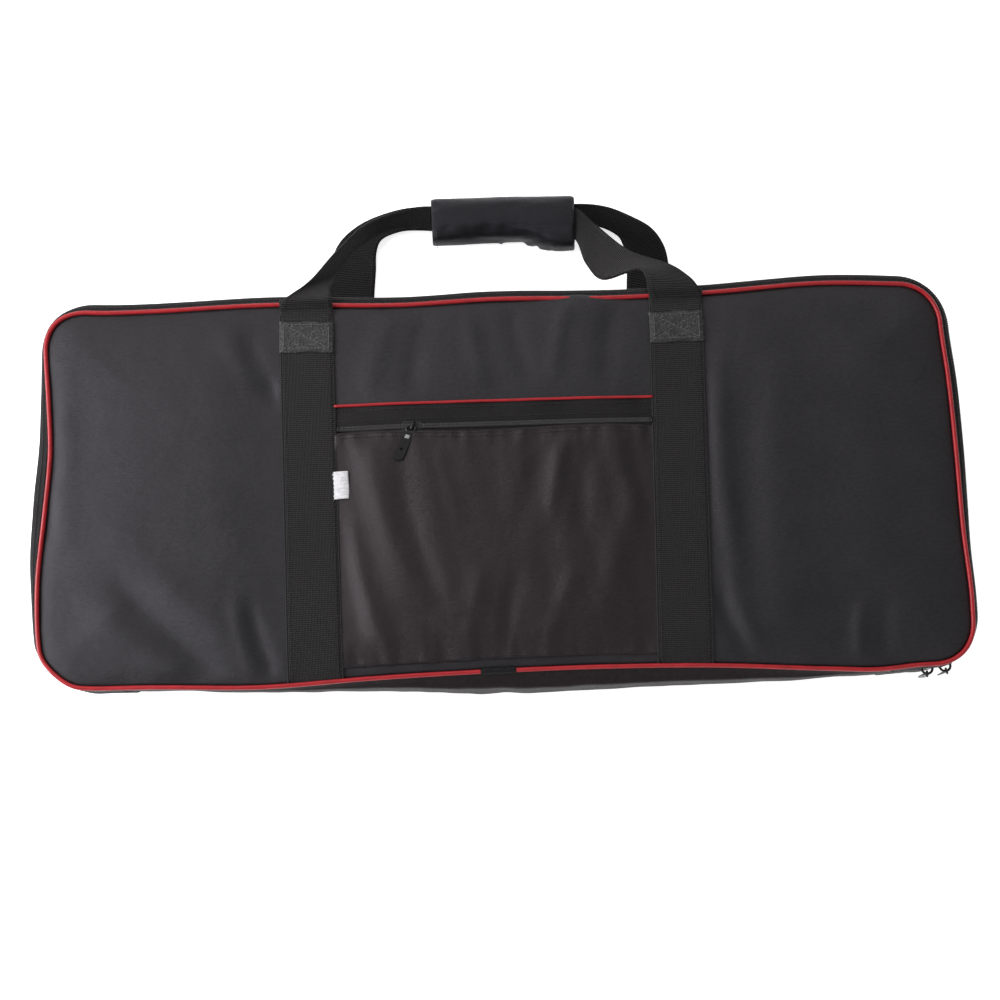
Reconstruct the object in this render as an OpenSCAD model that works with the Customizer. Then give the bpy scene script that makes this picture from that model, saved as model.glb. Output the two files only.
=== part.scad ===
// Flat padded carry case: a soft shell with a zipped lid that hinges on its bottom seam,
// a zipped front pocket, two webbing handles and a padded grip wrap.
// The case lies on its back: X runs along its length, +Y points to the handles and +Z out
// of the front panel. The origin is on the back panel's outer face, under the middle of the front.

/* [Case] */
// Length between the piping on the short sides
case_l = 840; // [600:10:1200]
// Height between the piping on the long sides
case_w = 355; // [300:5:450]
// Depth from the outside of the back to the outside of the front
case_d = 100; // [90:2:160]
// Corner radius of the piping line
corner_r = 36; // [30:1:70]
// Foam thickness in the front and back panels
foam_t = 8; // [5:1:15]
// Foam thickness in the side walls
wall_foam_t = 5; // [3:0.5:6]
// Lining thickness
lining_t = 1; // [0.6:0.1:1.5]
// Outer fabric thickness
skin_t = 2; // [1:0.5:3]
// How far the walls bulge beyond the piping
bulge = 10; // [9:0.5:14]
// How far the zip and the shell stand in along the bottom seam, under the front panel
tuck = 9; // [0:0.5:9]
// How far the bottom wall sags out beyond its ends
belly = 12; // [0:0.5:14]
// Radius of the front piping
piping_r = 2; // [1.5:0.1:2.5]
// Length of the black binding over the piping joint
binding_l = 33; // [20:1:60]
// Middle of that binding
binding_x = -8; // [-60:1:60]

/* [Main zip] */
// Half length of the plain hinge seam between the two zip ends
zip_gap = 345; // [300:5:355]
// Width of one half of the zip coil across the tape
coil_w = 2.5; // [2:0.1:3.5]
// Height of the coil across its two faces
coil_t = 2.4; // [2:0.1:3]
// Tape thickness
tape_t = 1.2; // [0.8:0.1:1.5]
// Length of a main slider body
slider_l = 12; // [10:0.5:14]
// Width of a main slider's puller
pull_w = 7; // [5:0.5:10]
// Length of a main slider's puller
pull_l = 26; // [18:1:30]

/* [Straps] */
// Webbing width
web_w = 50; // [38:1:50]
// Webbing thickness
web_t = 2.2; // [1.5:0.1:2.5]
// Middle of the left front strap at its top and bottom ends
left_strap = [-180, -173]; // [-220:1:-120]
// Middle of the right front strap at its top and bottom ends
right_strap = [170, 161]; // [120:1:220]
// Middle of the left and right back straps
back_straps = [-146, 150]; // [-200:1:200]
// Leatherette patch size along X and Y
patch = [50, 31]; // [20:1:60]
// Patch thickness
patch_t = 1; // [0.8:0.1:1.5]
// Distance of the patch middle below the top piping
patch_drop = 32; // [25:1:45]

/* [Handles] */
// Ends of the grip wrap along X
grip_x = [-61, 82]; // [-110:1:110]
// Distance of the grip's middle beyond the top piping
grip_out = 111.5; // [90:0.5:140]
// Width of the folded webbing in the grip
grip_web_w = 20; // [18:1:24]
// Outer width of the grip wrap
wrap_w = 52; // [45:1:60]
// Height of the grip wrap
wrap_h = 28; // [26:1:36]
// Wall thickness of the wrap
wrap_t = 5; // [4:0.5:6]

/* [Pocket] */
// Left and right edges of the pocket
pocket_x = [-154, 144]; // [-180:1:180]
// Bottom edge of the pocket
pocket_y0 = -167; // [-174:1:-120]
// Middle line of the pocket zip
pocket_zip_y = 56; // [40:1:70]
// Distance from the zip line up to the red piping
pocket_band = 21.5; // [15:0.5:26]
// Radius of the thin pocket piping
pocket_piping_r = 1.2; // [0.8:0.1:1.4]
// Where the pocket slider is parked
pocket_slider_x = -81; // [-140:1:130]
// Length of the pocket puller
pocket_pull_l = 26; // [18:1:30]
// Turn of the pocket puller from straight down
pocket_pull_turn = -20; // [-30:1:30]
// Sewn-in blank label: width and height
label = [14, 26]; // [8:1:40]
// Thickness of the label
label_t = 0.8; // [0.6:0.1:1]

/* [Hidden] */
$fn = 48;

eps = 0.01;
half_l = case_l / 2;
half_w = case_w / 2;
arc_x = half_l - corner_r;              // middle of the corner arcs
arc_y = half_w - corner_r;

// Heights of the layers, from the floor up.
back_t = 4;                             // back panel, deep enough to bed the straps
cord_r = 1.8;                           // radius of the back seam cord
cord_z = back_t + cord_r;
gusset_z = cord_z + cord_r;             // lower edge of the walls
floor_z = back_t + foam_t;              // top of the back foam
split_z = case_d - 12;                  // plane between the two halves of the zip
coil_gap = 0.5;                         // half of the space between the coils
base_coil_z = split_z - coil_gap - coil_w;
tape_z = base_coil_z - 11;              // joint of the base tape and the side wall
front_z = case_d - skin_t;              // underside of the front panel's skin
lid_foam_z = front_z - foam_t;
lining_z = lid_foam_z - lining_t;
lid_coil_z = split_z + coil_gap;
flange_z = lid_coil_z + coil_w + tape_t;// top of the flat part of the lid tape
piping_z = case_d - piping_r;

// Walls, measured outwards from the piping line.
wall_out = bulge;
wall_in = bulge - skin_t;
foam_in = wall_in - wall_foam_t;
rim_out = -1.05;                        // outside of the lid's sewn rim
rim_in = rim_out - skin_t;
coil_in = wall_out - tape_t - 0.4;
coil_out = coil_in + coil_t;

// Main sliders.
channel = 0.7;                          // clearance of a slider round the coil
plate_t = 1.4;
slider_out = coil_out + channel;        // inner face of a slider's outer plate
slider_in = coil_in - channel;          // outer face of a slider's inner plate
bridge_r = 5.5;                         // outward reach of a slider's bridge
bridge_w = 1.6;
bridge_l = 9;                           // length of the bridge along the zip
bridge_z = split_z - 3.6;               // middle height of the bridge
slider_a_x = arc_x - 3;
slider_b_turn = 16;                     // how far slider B stands round the corner
pull_u = slider_out + plate_t + bridge_r - bridge_w / 2;

// Straps and handles.
front_root = [half_w + 4.5, case_d + web_t / 2];
back_strap_z = patch_t;
back_root = [half_w + wall_out + 1.2, back_strap_z + web_t / 2];
grip_y = half_w + grip_out;
grip_z = wrap_h - wrap_t - 7.2;         // the folded webbing meets the roof of the wrap
front_fall = atan2(grip_z - front_root[1], grip_y - front_root[0]);
front_reach = norm([grip_z - front_root[1], grip_y - front_root[0]]);
back_reach = grip_y - back_root[0];
flap_gap = 0.4;
flap_z = 6;                             // free edge of the flap, above the back strap
wrap_y = [grip_y - wrap_w / 2, grip_y + wrap_w / 2];
cover_t = 2;                            // outer layer of the wrap
strip_t = 1.4;                          // hook and loop strips

// Pocket layers, above the front panel.
pocket_tape_z = case_d + 1;
pocket_tape_t = 0.8;
strap_gap = 0.2;                        // between the pocket's cloth and the straps
coil_end = 4;                           // bare tape at each end of the pocket's coil
pocket_stop = [1.6, 4.6, 1.2];
pocket_coil_z = pocket_tape_z + pocket_tape_t;
pocket_coil_t = 1.6;
pocket_skin_t = 1.4;
pocket_gap = 0.8;                       // half of the space between the coil halves
pocket_coil_w = 1.6;
pocket_slider_z = pocket_coil_z + pocket_coil_t + 0.4;
pocket_plate_t = 1.3;
pocket_bridge_h = 3.2;
pocket_slider_l = 11;
pocket_slider_w = 8;
pocket_pin_z = pocket_slider_z + pocket_plate_t + pocket_bridge_h - 1.9;

// Outline of the case, u outside the piping line, with its bottom edge moved in by rise.
module plan(u, rise = 0) {
    w = case_l + 2 * u;
    r = corner_r + u;
    y0 = rise - half_w - u;
    y1 = half_w + u;
    translate([-arc_x, y0]) square([2 * arc_x, y1 - y0]);
    translate([-w / 2, y0 + r]) square([w, y1 - y0 - 2 * r]);
    for (x = [-arc_x, arc_x], y = [rise - arc_y, arc_y])
        translate([x, y]) circle(r, $fn = 96);
}

module slab(u, z0, z1, rise = 0) {
    translate([0, 0, z0]) linear_extrude(z1 - z0) plan(u, rise);
}

module band(u0, u1, z0, z1, rise = 0) {
    translate([0, 0, z0])
        linear_extrude(z1 - z0)
            difference() {
                plan(u1, rise);
                plan(u0, rise);
            }
}

// The long box that takes away the part of a band along the bottom edge.
module bottom_run(half) {
    translate([-half, -case_w, -1]) cube([2 * half, case_w - half_w + 20, case_d + 20]);
}

// Round cord along the outline, u outside the piping line.
module cord_ring(u, z, r, rise = 0) {
    for (y = [rise - half_w - u, half_w + u])
        translate([-arc_x, y, z]) rotate([0, 90, 0]) cylinder(r = r, h = 2 * arc_x);
    for (s = [-1, 1])
        translate([s * (half_l + u), arc_y, z]) rotate([90, 0, 0]) cylinder(r = r, h = 2 * arc_y - rise);
    for (k = [0:3])
        translate([(k == 0 || k == 3 ? 1 : -1) * arc_x, k < 2 ? arc_y : rise - arc_y, z])
            rotate([0, 0, 90 * k])
                rotate_extrude(angle = 90, $fn = 96) translate([corner_r + u, 0]) circle(r, $fn = 32);
}

// A strap sewn flat, from y0 to y1, leaning from ends[1] at the bottom to ends[0] at the top.
module flat_strap(ends, y0, y1, z, t) {
    w = web_w / 2;
    translate([0, 0, z])
        linear_extrude(t)
            polygon([[ends[1] - w, y0], [ends[1] + w, y0], [ends[0] + w, y1], [ends[0] - w, y1]]);
}

// Middle line of one handle leg: up from its root x0, then round to the grip end x1.
function leg_point(x0, x1, reach, t) =
    let (p0 = [x0, 0], p1 = [x0, 0.62 * reach], p2 = [x0 + (x1 - x0) * 0.35, reach], p3 = [x1, reach])
    pow(1 - t, 3) * p0 + 3 * t * pow(1 - t, 2) * p1 + 3 * t * t * (1 - t) * p2 + pow(t, 3) * p3;

function leg_width(t) = web_w + (grip_web_w - web_w) * t * t * (3 - 2 * t);

// Edge point of a leg: side 1 is left of the way from root to grip.
function leg_edge(x0, x1, reach, t, side) =
    let (d = leg_point(x0, x1, reach, min(t + eps, 1)) - leg_point(x0, x1, reach, max(t - eps, 0)),
         n = [-d[1], d[0]] / norm(d))
    leg_point(x0, x1, reach, t) + side * n * leg_width(t) / 2;

// Flat handle loop, standing along +Y from its root line, web_t thick.
module handle_loop(roots, reach) {
    steps = 20;
    outer = concat([for (i = [0:steps]) leg_edge(roots[0], grip_x[0], reach, i / steps, 1)],
                   [for (i = [steps:-1:0]) leg_edge(roots[1], grip_x[1], reach, i / steps, -1)]);
    inner = concat([for (i = [0:steps]) leg_edge(roots[1], grip_x[1], reach, i / steps, 1)],
                   [for (i = [steps:-1:0]) leg_edge(roots[0], grip_x[0], reach, i / steps, -1)]);
    translate([0, 0, -web_t / 2]) linear_extrude(web_t) polygon(concat(outer, inner));
    for (x = roots)
        translate([x - web_w / 2, 0, 0]) rotate([0, 90, 0]) cylinder(d = web_t, h = web_w);
}

// ---- Base: the shell that stays on the floor ----

module strap_beds(t) {
    for (x = back_straps)
        translate([x - web_w / 2, -half_w - wall_out, -1]) cube([web_w, case_w + 2 * wall_out + 2, t + 1]);
}

module back_panel() {
    color("#2c2b2d")
        difference() {
            slab(wall_out - 1, 0, back_t, tuck);
            strap_beds(patch_t + web_t);
        }
}

module back_foam() {
    color("#8a8d8f") slab(foam_in, back_t, floor_z, tuck);
}

module back_seam_cord() {
    color("#1b1b1c") cord_ring(wall_out, cord_z, cord_r, tuck);
}

module side_gusset() {
    color("#262527")
        difference() {
            band(wall_in, wall_out, gusset_z, tape_z, tuck);
            bottom_run(zip_gap);
        }
}

// Outer edge of the bottom wall at x: it sags out between the two zip ends.
function sag_y(x) = tuck - half_w - wall_out - belly * pow(cos(90 * x / zip_gap), 2);

// Plan of the bottom wall's cloth, reaching in from its outer edge to y1 or by its thickness.
module sagging_plan(y1 = undef) {
    xs = [for (i = [-12:12]) zip_gap * i / 12];
    outer = [for (x = xs) [x, sag_y(x)]];
    inner = [for (i = [len(xs) - 1:-1:0]) [xs[i], is_undef(y1) ? sag_y(xs[i]) + skin_t : y1]];
    polygon(concat(outer, inner));
}

module bottom_gusset() {
    color("#39373a")
        translate([0, 0, gusset_z]) linear_extrude(split_z - coil_gap - gusset_z) sagging_plan();
}

module gusset_foam() {
    color("#8a8d8f") band(foam_in, wall_in, back_t, tape_z - lining_t, tuck);
}

module case_lining() {
    color("#4a4b50") {
        slab(foam_in, floor_z, floor_z + lining_t, tuck);
        band(foam_in - lining_t, foam_in, floor_z, tape_z, tuck);
        band(foam_in - lining_t, wall_in, tape_z - lining_t, tape_z, tuck);
    }
}

module base_zip_tape() {
    color("#1a1a1b")
        difference() {
            band(wall_out - tape_t, wall_out, tape_z, base_coil_z, tuck);
            bottom_run(zip_gap);
        }
}

module base_zip_coil() {
    color("#101011")
        difference() {
            band(coil_in, coil_out, base_coil_z, base_coil_z + coil_w, tuck);
            bottom_run(zip_gap);
        }
}

module zip_end_stops() {
    stop = [2.9, 1.6, coil_w];
    color("#5a5a5e")
        for (x = [-zip_gap, zip_gap - stop[0]])
            translate([x, tuck - half_w - wall_out - stop[1] - 0.05, base_coil_z]) cube(stop);
}

module back_strap(x) {
    color("#2d2b2a") flat_strap([x, x], -half_w, half_w + wall_out - 0.3, back_strap_z, web_t);
}

module back_patch(x) {
    color("#55555a")
        translate([x - patch[0] / 2, half_w - patch_drop - patch[1] / 2, 0]) cube([patch[0], patch[1], patch_t]);
}

module back_handle() {
    color("#242223") translate([0, back_root[0], back_root[1]]) handle_loop(back_straps, back_reach);
}

// ---- Lid: the front panel and all that is sewn on it ----

module front_panel() {
    color("#3a393c") {
        slab(rim_out, front_z, case_d);
        band(rim_in, rim_out, lining_z, front_z);
    }
}

module front_foam() {
    color("#8a8d8f") slab(rim_in, lid_foam_z, front_z);
}

module front_lining() {
    color("#4a4b50") slab(rim_in, lining_z, lid_foam_z);
}

module front_piping() {
    color("#b8262d") cord_ring(1, piping_z, piping_r);
}

module piping_binding() {
    color("#1c1b1c")
        translate([binding_x - binding_l / 2, -half_w - 1, piping_z])
            rotate([0, 90, 0])
                difference() {
                    cylinder(r = piping_r + 0.8, h = binding_l);
                    translate([0, 0, -1]) cylinder(r = piping_r, h = binding_l + 2);
                    translate([-5, 0, -1]) cube([10, 10, binding_l + 2]);
                }
}

module hinge_fold() {
    color("#39373a")
        translate([0, 0, flange_z - 2 * tape_t]) linear_extrude(2 * tape_t) sagging_plan(-half_w - rim_out);
}

module lid_zip_tape() {
    color("#1a1a1b")
        difference() {
            slab(wall_out, flange_z - tape_t, flange_z, tuck);
            slab(rim_out, flange_z - 2 * tape_t, flange_z + 1);
            bottom_run(zip_gap);
        }
}

module lid_zip_coil() {
    color("#101011")
        difference() {
            band(coil_in, coil_out, lid_coil_z, lid_coil_z + coil_w, tuck);
            bottom_run(zip_gap);
        }
}

module front_strap(ends) {
    color("#33302f") flat_strap(ends, -half_w + 1, front_root[0] - web_t / 2 - 0.4, case_d, web_t);
}

module front_patch(ends) {
    lean = (ends[0] - ends[1]) / case_w;
    y = half_w - patch_drop;
    color("#55555a")
        translate([ends[0] - lean * patch_drop, y, case_d + web_t])
            translate([-patch[0] / 2, -patch[1] / 2, 0]) cube([patch[0], patch[1], patch_t]);
}

// Middle of a leaning strap at the height y, and the pocket's two ends there.
function strap_middle(ends, y) = ends[1] + (ends[0] - ends[1]) * (y + half_w) / case_w;
function pocket_left(y) = strap_middle(left_strap, y) + web_w / 2 + strap_gap;
function pocket_right(y) = strap_middle(right_strap, y) - web_w / 2 - strap_gap;

// Plan of the pocket's cloth between the leaning straps, from y0 to y1.
module between_straps(y0, y1) {
    polygon([[pocket_left(y0), y0], [pocket_right(y0), y0], [pocket_right(y1), y1], [pocket_left(y1), y1]]);
}

module pocket_panel() {
    hem = 4;
    top = pocket_zip_y - pocket_gap - pocket_coil_w - 1.4;
    color("#343234") {
        translate([0, 0, pocket_tape_z + pocket_tape_t])
            linear_extrude(pocket_skin_t) between_straps(pocket_y0, top);
        translate([0, 0, case_d])
            linear_extrude(pocket_tape_z + pocket_tape_t - case_d) between_straps(pocket_y0, pocket_y0 + hem);
    }
}

module pocket_zip_tape() {
    lower = 10;
    seam = 3;
    y = pocket_zip_y;
    color("#1a1a1b") {
        translate([0, 0, pocket_tape_z])
            linear_extrude(pocket_tape_t) between_straps(y - pocket_gap - lower, y - pocket_gap);
        translate([0, 0, pocket_tape_z])
            linear_extrude(pocket_tape_t) between_straps(y + pocket_gap, y + pocket_band);
        translate([0, 0, case_d])
            linear_extrude(pocket_tape_z - case_d) between_straps(y + pocket_band - seam, y + pocket_band);
    }
}

module pocket_zip_coil() {
    color("#0f0f10")
        for (s = [-1, 1])
            translate([(pocket_x[0] + pocket_x[1]) / 2, pocket_zip_y + s * (pocket_gap + pocket_coil_w / 2),
                       pocket_coil_z + pocket_coil_t / 2])
                cube([pocket_x[1] - pocket_x[0] - 2 * coil_end, pocket_coil_w, pocket_coil_t], center = true);
}

module pocket_zip_stops() {
    color("#5a5a5e")
        for (x = [pocket_x[0] + coil_end - pocket_stop[0], pocket_x[1] - coil_end])
            translate([x, pocket_zip_y - pocket_stop[1] / 2, pocket_coil_z]) cube(pocket_stop);
}

module pocket_piping() {
    y = pocket_zip_y + pocket_band + pocket_piping_r;
    color("#b8262d")
        translate([pocket_left(y), y, case_d + pocket_piping_r])
            rotate([0, 90, 0]) cylinder(r = pocket_piping_r, h = pocket_right(y) - pocket_left(y), $fn = 32);
}

module pocket_label() {
    color("#ececec")
        translate([pocket_x[0] - 1, -11, pocket_tape_z + pocket_tape_t + pocket_skin_t])
            cube([label[0], label[1], label_t]);
}

// Slider of the pocket zip: plates over and under the coil, joined by a post at the nose.
module pocket_slider() {
    under_t = 0.5;
    post = [2, 2 * pocket_gap - 0.6];
    bridge = [2, 7];
    color("#232326")
        translate([pocket_slider_x, pocket_zip_y, 0]) {
            translate([-pocket_slider_l / 2, -pocket_slider_w / 2, pocket_slider_z])
                cube([pocket_slider_l, pocket_slider_w, pocket_plate_t]);
            translate([-pocket_slider_l / 2, -pocket_slider_w / 2, case_d + 0.2])
                cube([pocket_slider_l, pocket_slider_w, under_t]);
            translate([-pocket_slider_l / 2, -post[1] / 2, case_d + 0.2])
                cube([post[0], post[1], pocket_slider_z - case_d]);
            translate([0, 0, pocket_slider_z + pocket_plate_t])
                rotate([90, 0, 90 + pocket_pull_turn])
                    translate([0, 0, -bridge[0] / 2])
                        linear_extrude(bridge[0])
                            difference() {
                                translate([-bridge[1] / 2, -0.2]) square([bridge[1], pocket_bridge_h + 0.2]);
                                translate([1.1 - bridge[1] / 2, 0])
                                    square([bridge[1] - 2.2, pocket_bridge_h - 1.2]);
                            }
        }
}

// Puller of the pocket slider: a round pin under the bridge, two arms past the bridge's foot
// and a flat tab over the cloth.
module pocket_pull() {
    tab_w = 5.5;
    tab_t = 1.2;
    bar = 1;
    arm_x = 1.6;
    color("#232326")
        translate([pocket_slider_x, pocket_zip_y, pocket_pin_z])
            rotate([0, 0, pocket_pull_turn]) {
                translate([-arm_x - bar / 2, 0, 0]) rotate([0, 90, 0]) cylinder(d = bar, h = 2 * arm_x + bar);
                for (s = [-1, 1])
                    translate([s * (arm_x + bar / 2) - bar / 2, -6.5, -bar / 2]) cube([bar, 7, bar]);
                translate([0, -6, 0.1]) {
                    difference() {
                        translate([-tab_w / 2, -pocket_pull_l + 6 + tab_w / 2, -tab_t / 2])
                            cube([tab_w, pocket_pull_l - 6 - tab_w / 2, tab_t]);
                        translate([0, -14, -2]) cylinder(d = 2.4, h = 4);
                    }
                    translate([0, -pocket_pull_l + 6 + tab_w / 2, -tab_t / 2]) cylinder(d = tab_w, h = tab_t);
                }
            }
}

// ---- Front handle and its grip wrap ----

module front_handle() {
    color("#2b2928")
        translate([0, front_root[0], front_root[1]])
            rotate([front_fall, 0, 0]) handle_loop([left_strap[0], right_strap[0]], front_reach);
}

// Section of the wrap: a roof and a far wall, drawn in Y and Z. in is the depth below the outside.
module wrap_section(in, t) {
    y1 = wrap_y[1] - in;
    z1 = wrap_h - in;
    translate([wrap_y[0], z1 - t]) square([y1 - wrap_y[0], t]);
    translate([y1 - t, 0]) square([t, z1]);
}

module along_grip(x0, x1) {
    translate([x0, 0, 0]) rotate([90, 0, 90]) linear_extrude(x1 - x0) children();
}

module wrap_cover() {
    color("#303034") along_grip(grip_x[0], grip_x[1]) wrap_section(0, cover_t);
}

module wrap_padding() {
    color("#8a8d8f") along_grip(grip_x[0] + 2, grip_x[1] - 2) wrap_section(cover_t, wrap_t - cover_t);
}

module wrap_loop_strip() {
    color("#1d1d1f")
        along_grip(grip_x[0] + 8, grip_x[1] - 8)
            translate([wrap_y[1] - wrap_t - strip_t, 0.5]) square([strip_t, 14]);
}

module wrap_flap() {
    color("#303034")
        along_grip(grip_x[0], grip_x[1])
            translate([wrap_y[0], flap_z]) square([wrap_t, wrap_h - wrap_t - flap_gap - flap_z]);
}

module wrap_hook_strip() {
    color("#1d1d1f")
        along_grip(grip_x[0] + 8, grip_x[1] - 8)
            translate([wrap_y[0] + wrap_t, flap_z + 0.5]) square([strip_t, 9]);
}

// ---- Main zip sliders ----

// Slider at x = 0 on the bottom wall, its middle u = 0 on the piping line.
module main_slider() {
    outer_h = [base_coil_z - 1.6, split_z + 1];
    inner_h = [base_coil_z - 1.6, split_z - 0.4];
    post_l = 2;
    plate_z = [outer_h[0], outer_h[1] - outer_h[0]];
    color("#232326") {
        translate([-slider_l / 2, -slider_out - plate_t, plate_z[0]]) cube([slider_l, plate_t, plate_z[1]]);
        translate([-slider_l / 2, -slider_in, inner_h[0]]) cube([slider_l, plate_t, inner_h[1] - inner_h[0]]);
        translate([-slider_l / 2, -slider_out - eps, split_z - 0.25])
            cube([post_l, slider_out - slider_in + plate_t / 2, 0.5]);
        translate([-slider_l / 2, -slider_in, split_z - 0.45]) cube([post_l, plate_t, 0.7]);
        for (s = [-1, 1])
            translate([s * (bridge_l - bridge_w) / 2 - bridge_w / 2, -pull_u, bridge_z - bridge_w / 2])
                cube([bridge_w, pull_u - slider_out - plate_t + eps, bridge_w]);
        translate([-bridge_l / 2, -pull_u, bridge_z]) rotate([0, 90, 0]) cylinder(d = bridge_w, h = bridge_l);
    }
}

// Puller hanging straight down from the bridge.
module main_pull() {
    eye_r = 2.9;
    hole_r = 1.5;
    t = 1.4;
    color("#232326")
        translate([0, -pull_u, bridge_z])
            rotate([0, 90, 0])
                translate([0, 0, -t / 2]) {
                    difference() {
                        translate([0.8, 0, 0]) cylinder(r = eye_r, h = t);
                        translate([0.4, 0, -1]) cylinder(r = hole_r, h = t + 2);
                    }
                    translate([eye_r + 0.4, -1, 0]) cube([3, 2, t]);
                    translate([eye_r + 2.4, -t / 2, t / 2 - pull_w / 2]) cube([pull_l - 6, t, pull_w]);
                }
}

// Puts a slider or puller on the bottom wall, by its place on the straight run or its turn
// round the lower right corner.
module on_run() {
    translate([slider_a_x, tuck - half_w, 0]) children();
}

module on_corner() {
    translate([arc_x, tuck - arc_y, 0]) rotate([0, 0, slider_b_turn]) translate([0, -corner_r, 0]) children();
}

back_panel();
back_foam();
back_seam_cord();
side_gusset();
bottom_gusset();
gusset_foam();
case_lining();
base_zip_tape();
base_zip_coil();
zip_end_stops();
back_strap(back_straps[0]);  // back_strap_left
back_strap(back_straps[1]);  // back_strap_right
back_patch(back_straps[0]);  // back_patch_left
back_patch(back_straps[1]);  // back_patch_right
back_handle();
front_panel();
front_foam();
front_lining();
front_piping();
piping_binding();
hinge_fold();
lid_zip_tape();
lid_zip_coil();
front_strap(left_strap);  // strap_left
front_strap(right_strap);  // strap_right
front_patch(left_strap);  // patch_left
front_patch(right_strap);  // patch_right
pocket_panel();
pocket_zip_tape();
pocket_zip_coil();
pocket_zip_stops();
pocket_piping();
pocket_label();
pocket_slider();
pocket_pull();
front_handle();
wrap_cover();
wrap_padding();
wrap_loop_strip();
wrap_flap();
wrap_hook_strip();
on_run() main_slider();  // slider_a
on_run() main_pull();  // pull_a
on_corner() main_slider();  // slider_b
on_corner() main_pull();  // pull_b
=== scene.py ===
"""Looks of the padded carry case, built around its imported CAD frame.

The case lies on its back: X along its length, +Y to the handles, +Z out of the front.
Sizes are metres. "u" is the distance outside the middle line of the front piping.
"""

import math

import bmesh
import bpy
import numpy as np
from mathutils import Matrix, Vector, noise


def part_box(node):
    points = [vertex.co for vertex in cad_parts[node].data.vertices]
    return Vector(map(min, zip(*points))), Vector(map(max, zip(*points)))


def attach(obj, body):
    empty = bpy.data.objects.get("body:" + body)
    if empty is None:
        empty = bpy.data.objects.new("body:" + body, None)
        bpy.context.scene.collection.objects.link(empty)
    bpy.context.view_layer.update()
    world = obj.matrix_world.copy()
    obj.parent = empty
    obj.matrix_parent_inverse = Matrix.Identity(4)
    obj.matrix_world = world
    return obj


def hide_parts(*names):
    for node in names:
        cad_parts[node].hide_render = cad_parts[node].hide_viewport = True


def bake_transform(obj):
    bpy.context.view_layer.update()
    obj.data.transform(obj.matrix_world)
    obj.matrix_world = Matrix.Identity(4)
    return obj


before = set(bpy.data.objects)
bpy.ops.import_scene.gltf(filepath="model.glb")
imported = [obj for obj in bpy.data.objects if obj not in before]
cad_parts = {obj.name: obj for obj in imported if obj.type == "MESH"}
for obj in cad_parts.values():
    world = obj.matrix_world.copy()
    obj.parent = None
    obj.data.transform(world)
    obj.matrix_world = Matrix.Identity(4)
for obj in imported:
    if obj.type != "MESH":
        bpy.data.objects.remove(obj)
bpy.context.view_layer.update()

MM = 0.001

# ---------------------------------------------------------------- sizes from the frame

pipe_lo, pipe_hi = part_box("front_piping")
PIPE_R = (pipe_hi.z - pipe_lo.z) / 2
PIPE_X = pipe_hi.x - PIPE_R
PIPE_Y = pipe_hi.y - PIPE_R
PIPE_Z = pipe_hi.z - PIPE_R
CORNER_R = 37 * MM
ARC_X = PIPE_X - CORNER_R
ARC_Y = PIPE_Y - CORNER_R
TOP_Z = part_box("front_panel")[1].z
LINING_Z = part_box("front_lining")[0].z
TAPE_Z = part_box("base_zip_tape")[0].z
CORD_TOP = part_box("back_seam_cord")[1].z
FLOOR_LINING_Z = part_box("case_lining")[0].z
ZIP_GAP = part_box("bottom_gusset")[1].x
STRAP_W = 50 * MM
STRAP_SEAMS = (-21.3 * MM, 21.3 * MM)
LEFT_STRAP = (-180 * MM, -173 * MM)
RIGHT_STRAP = (170 * MM, 161 * MM)
GRIP_LO, GRIP_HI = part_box("wrap_cover")
FRONT_ROOT_Y = 182 * MM
BACK_ROOT_Y = 188.7 * MM
BACK_STRAPS = (("left", -146 * MM), ("right", 150 * MM))


def smooth(a, b, x):
    """0 below a, 1 above b, smooth between."""
    t = np.clip((np.asarray(x, float) - a) / (b - a), 0, 1)
    return t * t * (3 - 2 * t)


def bump(x, middle, width):
    """Round hill of height 1 at middle."""
    return np.exp(-(((np.asarray(x, float) - middle) / width) ** 2))


def curve_through(points, x):
    """Smooth curve through given (x, y) points."""
    p = np.array(points, float)
    x = np.clip(np.asarray(x, float), p[0, 0], p[-1, 0])
    slopes = np.gradient(p[:, 1], p[:, 0])
    i = np.clip(np.searchsorted(p[:, 0], x) - 1, 0, len(p) - 2)
    h = p[i + 1, 0] - p[i, 0]
    t = (x - p[i, 0]) / h
    return (
        (2 * t**3 - 3 * t**2 + 1) * p[i, 1]
        + (t**3 - 2 * t**2 + t) * h * slopes[i]
        + (3 * t**2 - 2 * t**3) * p[i + 1, 1]
        + (t**3 - t**2) * h * slopes[i + 1]
    )


def running_length(path):
    """Length along a path at each of its points."""
    return np.concatenate([[0], np.cumsum(np.linalg.norm(np.diff(path, axis=0), axis=1))])


def grid_of(*axes):
    """Grid of points or map places, from arrays that spread to one shape."""
    return np.stack(np.broadcast_arrays(*axes), -1)


def listed(x, y, z=0.0):
    """Grids of x, y and z as one list of points."""
    return grid_of(x, y, z).reshape(-1, 3)


def field(points, scale, seed):
    """Smooth noise from -1 to 1 at each point, with features of about the given size."""
    shift = Vector((seed * 3.17, seed * 1.31, seed * 0.73))
    return np.array([noise.noise(Vector(p) / scale + shift) for p in points])


# ---------------------------------------------------------------- the case's soft outline

# How far the zip and the shell stand in along the bottom seam.
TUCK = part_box("back_seam_cord")[0].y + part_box("back_seam_cord")[1].y

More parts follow.
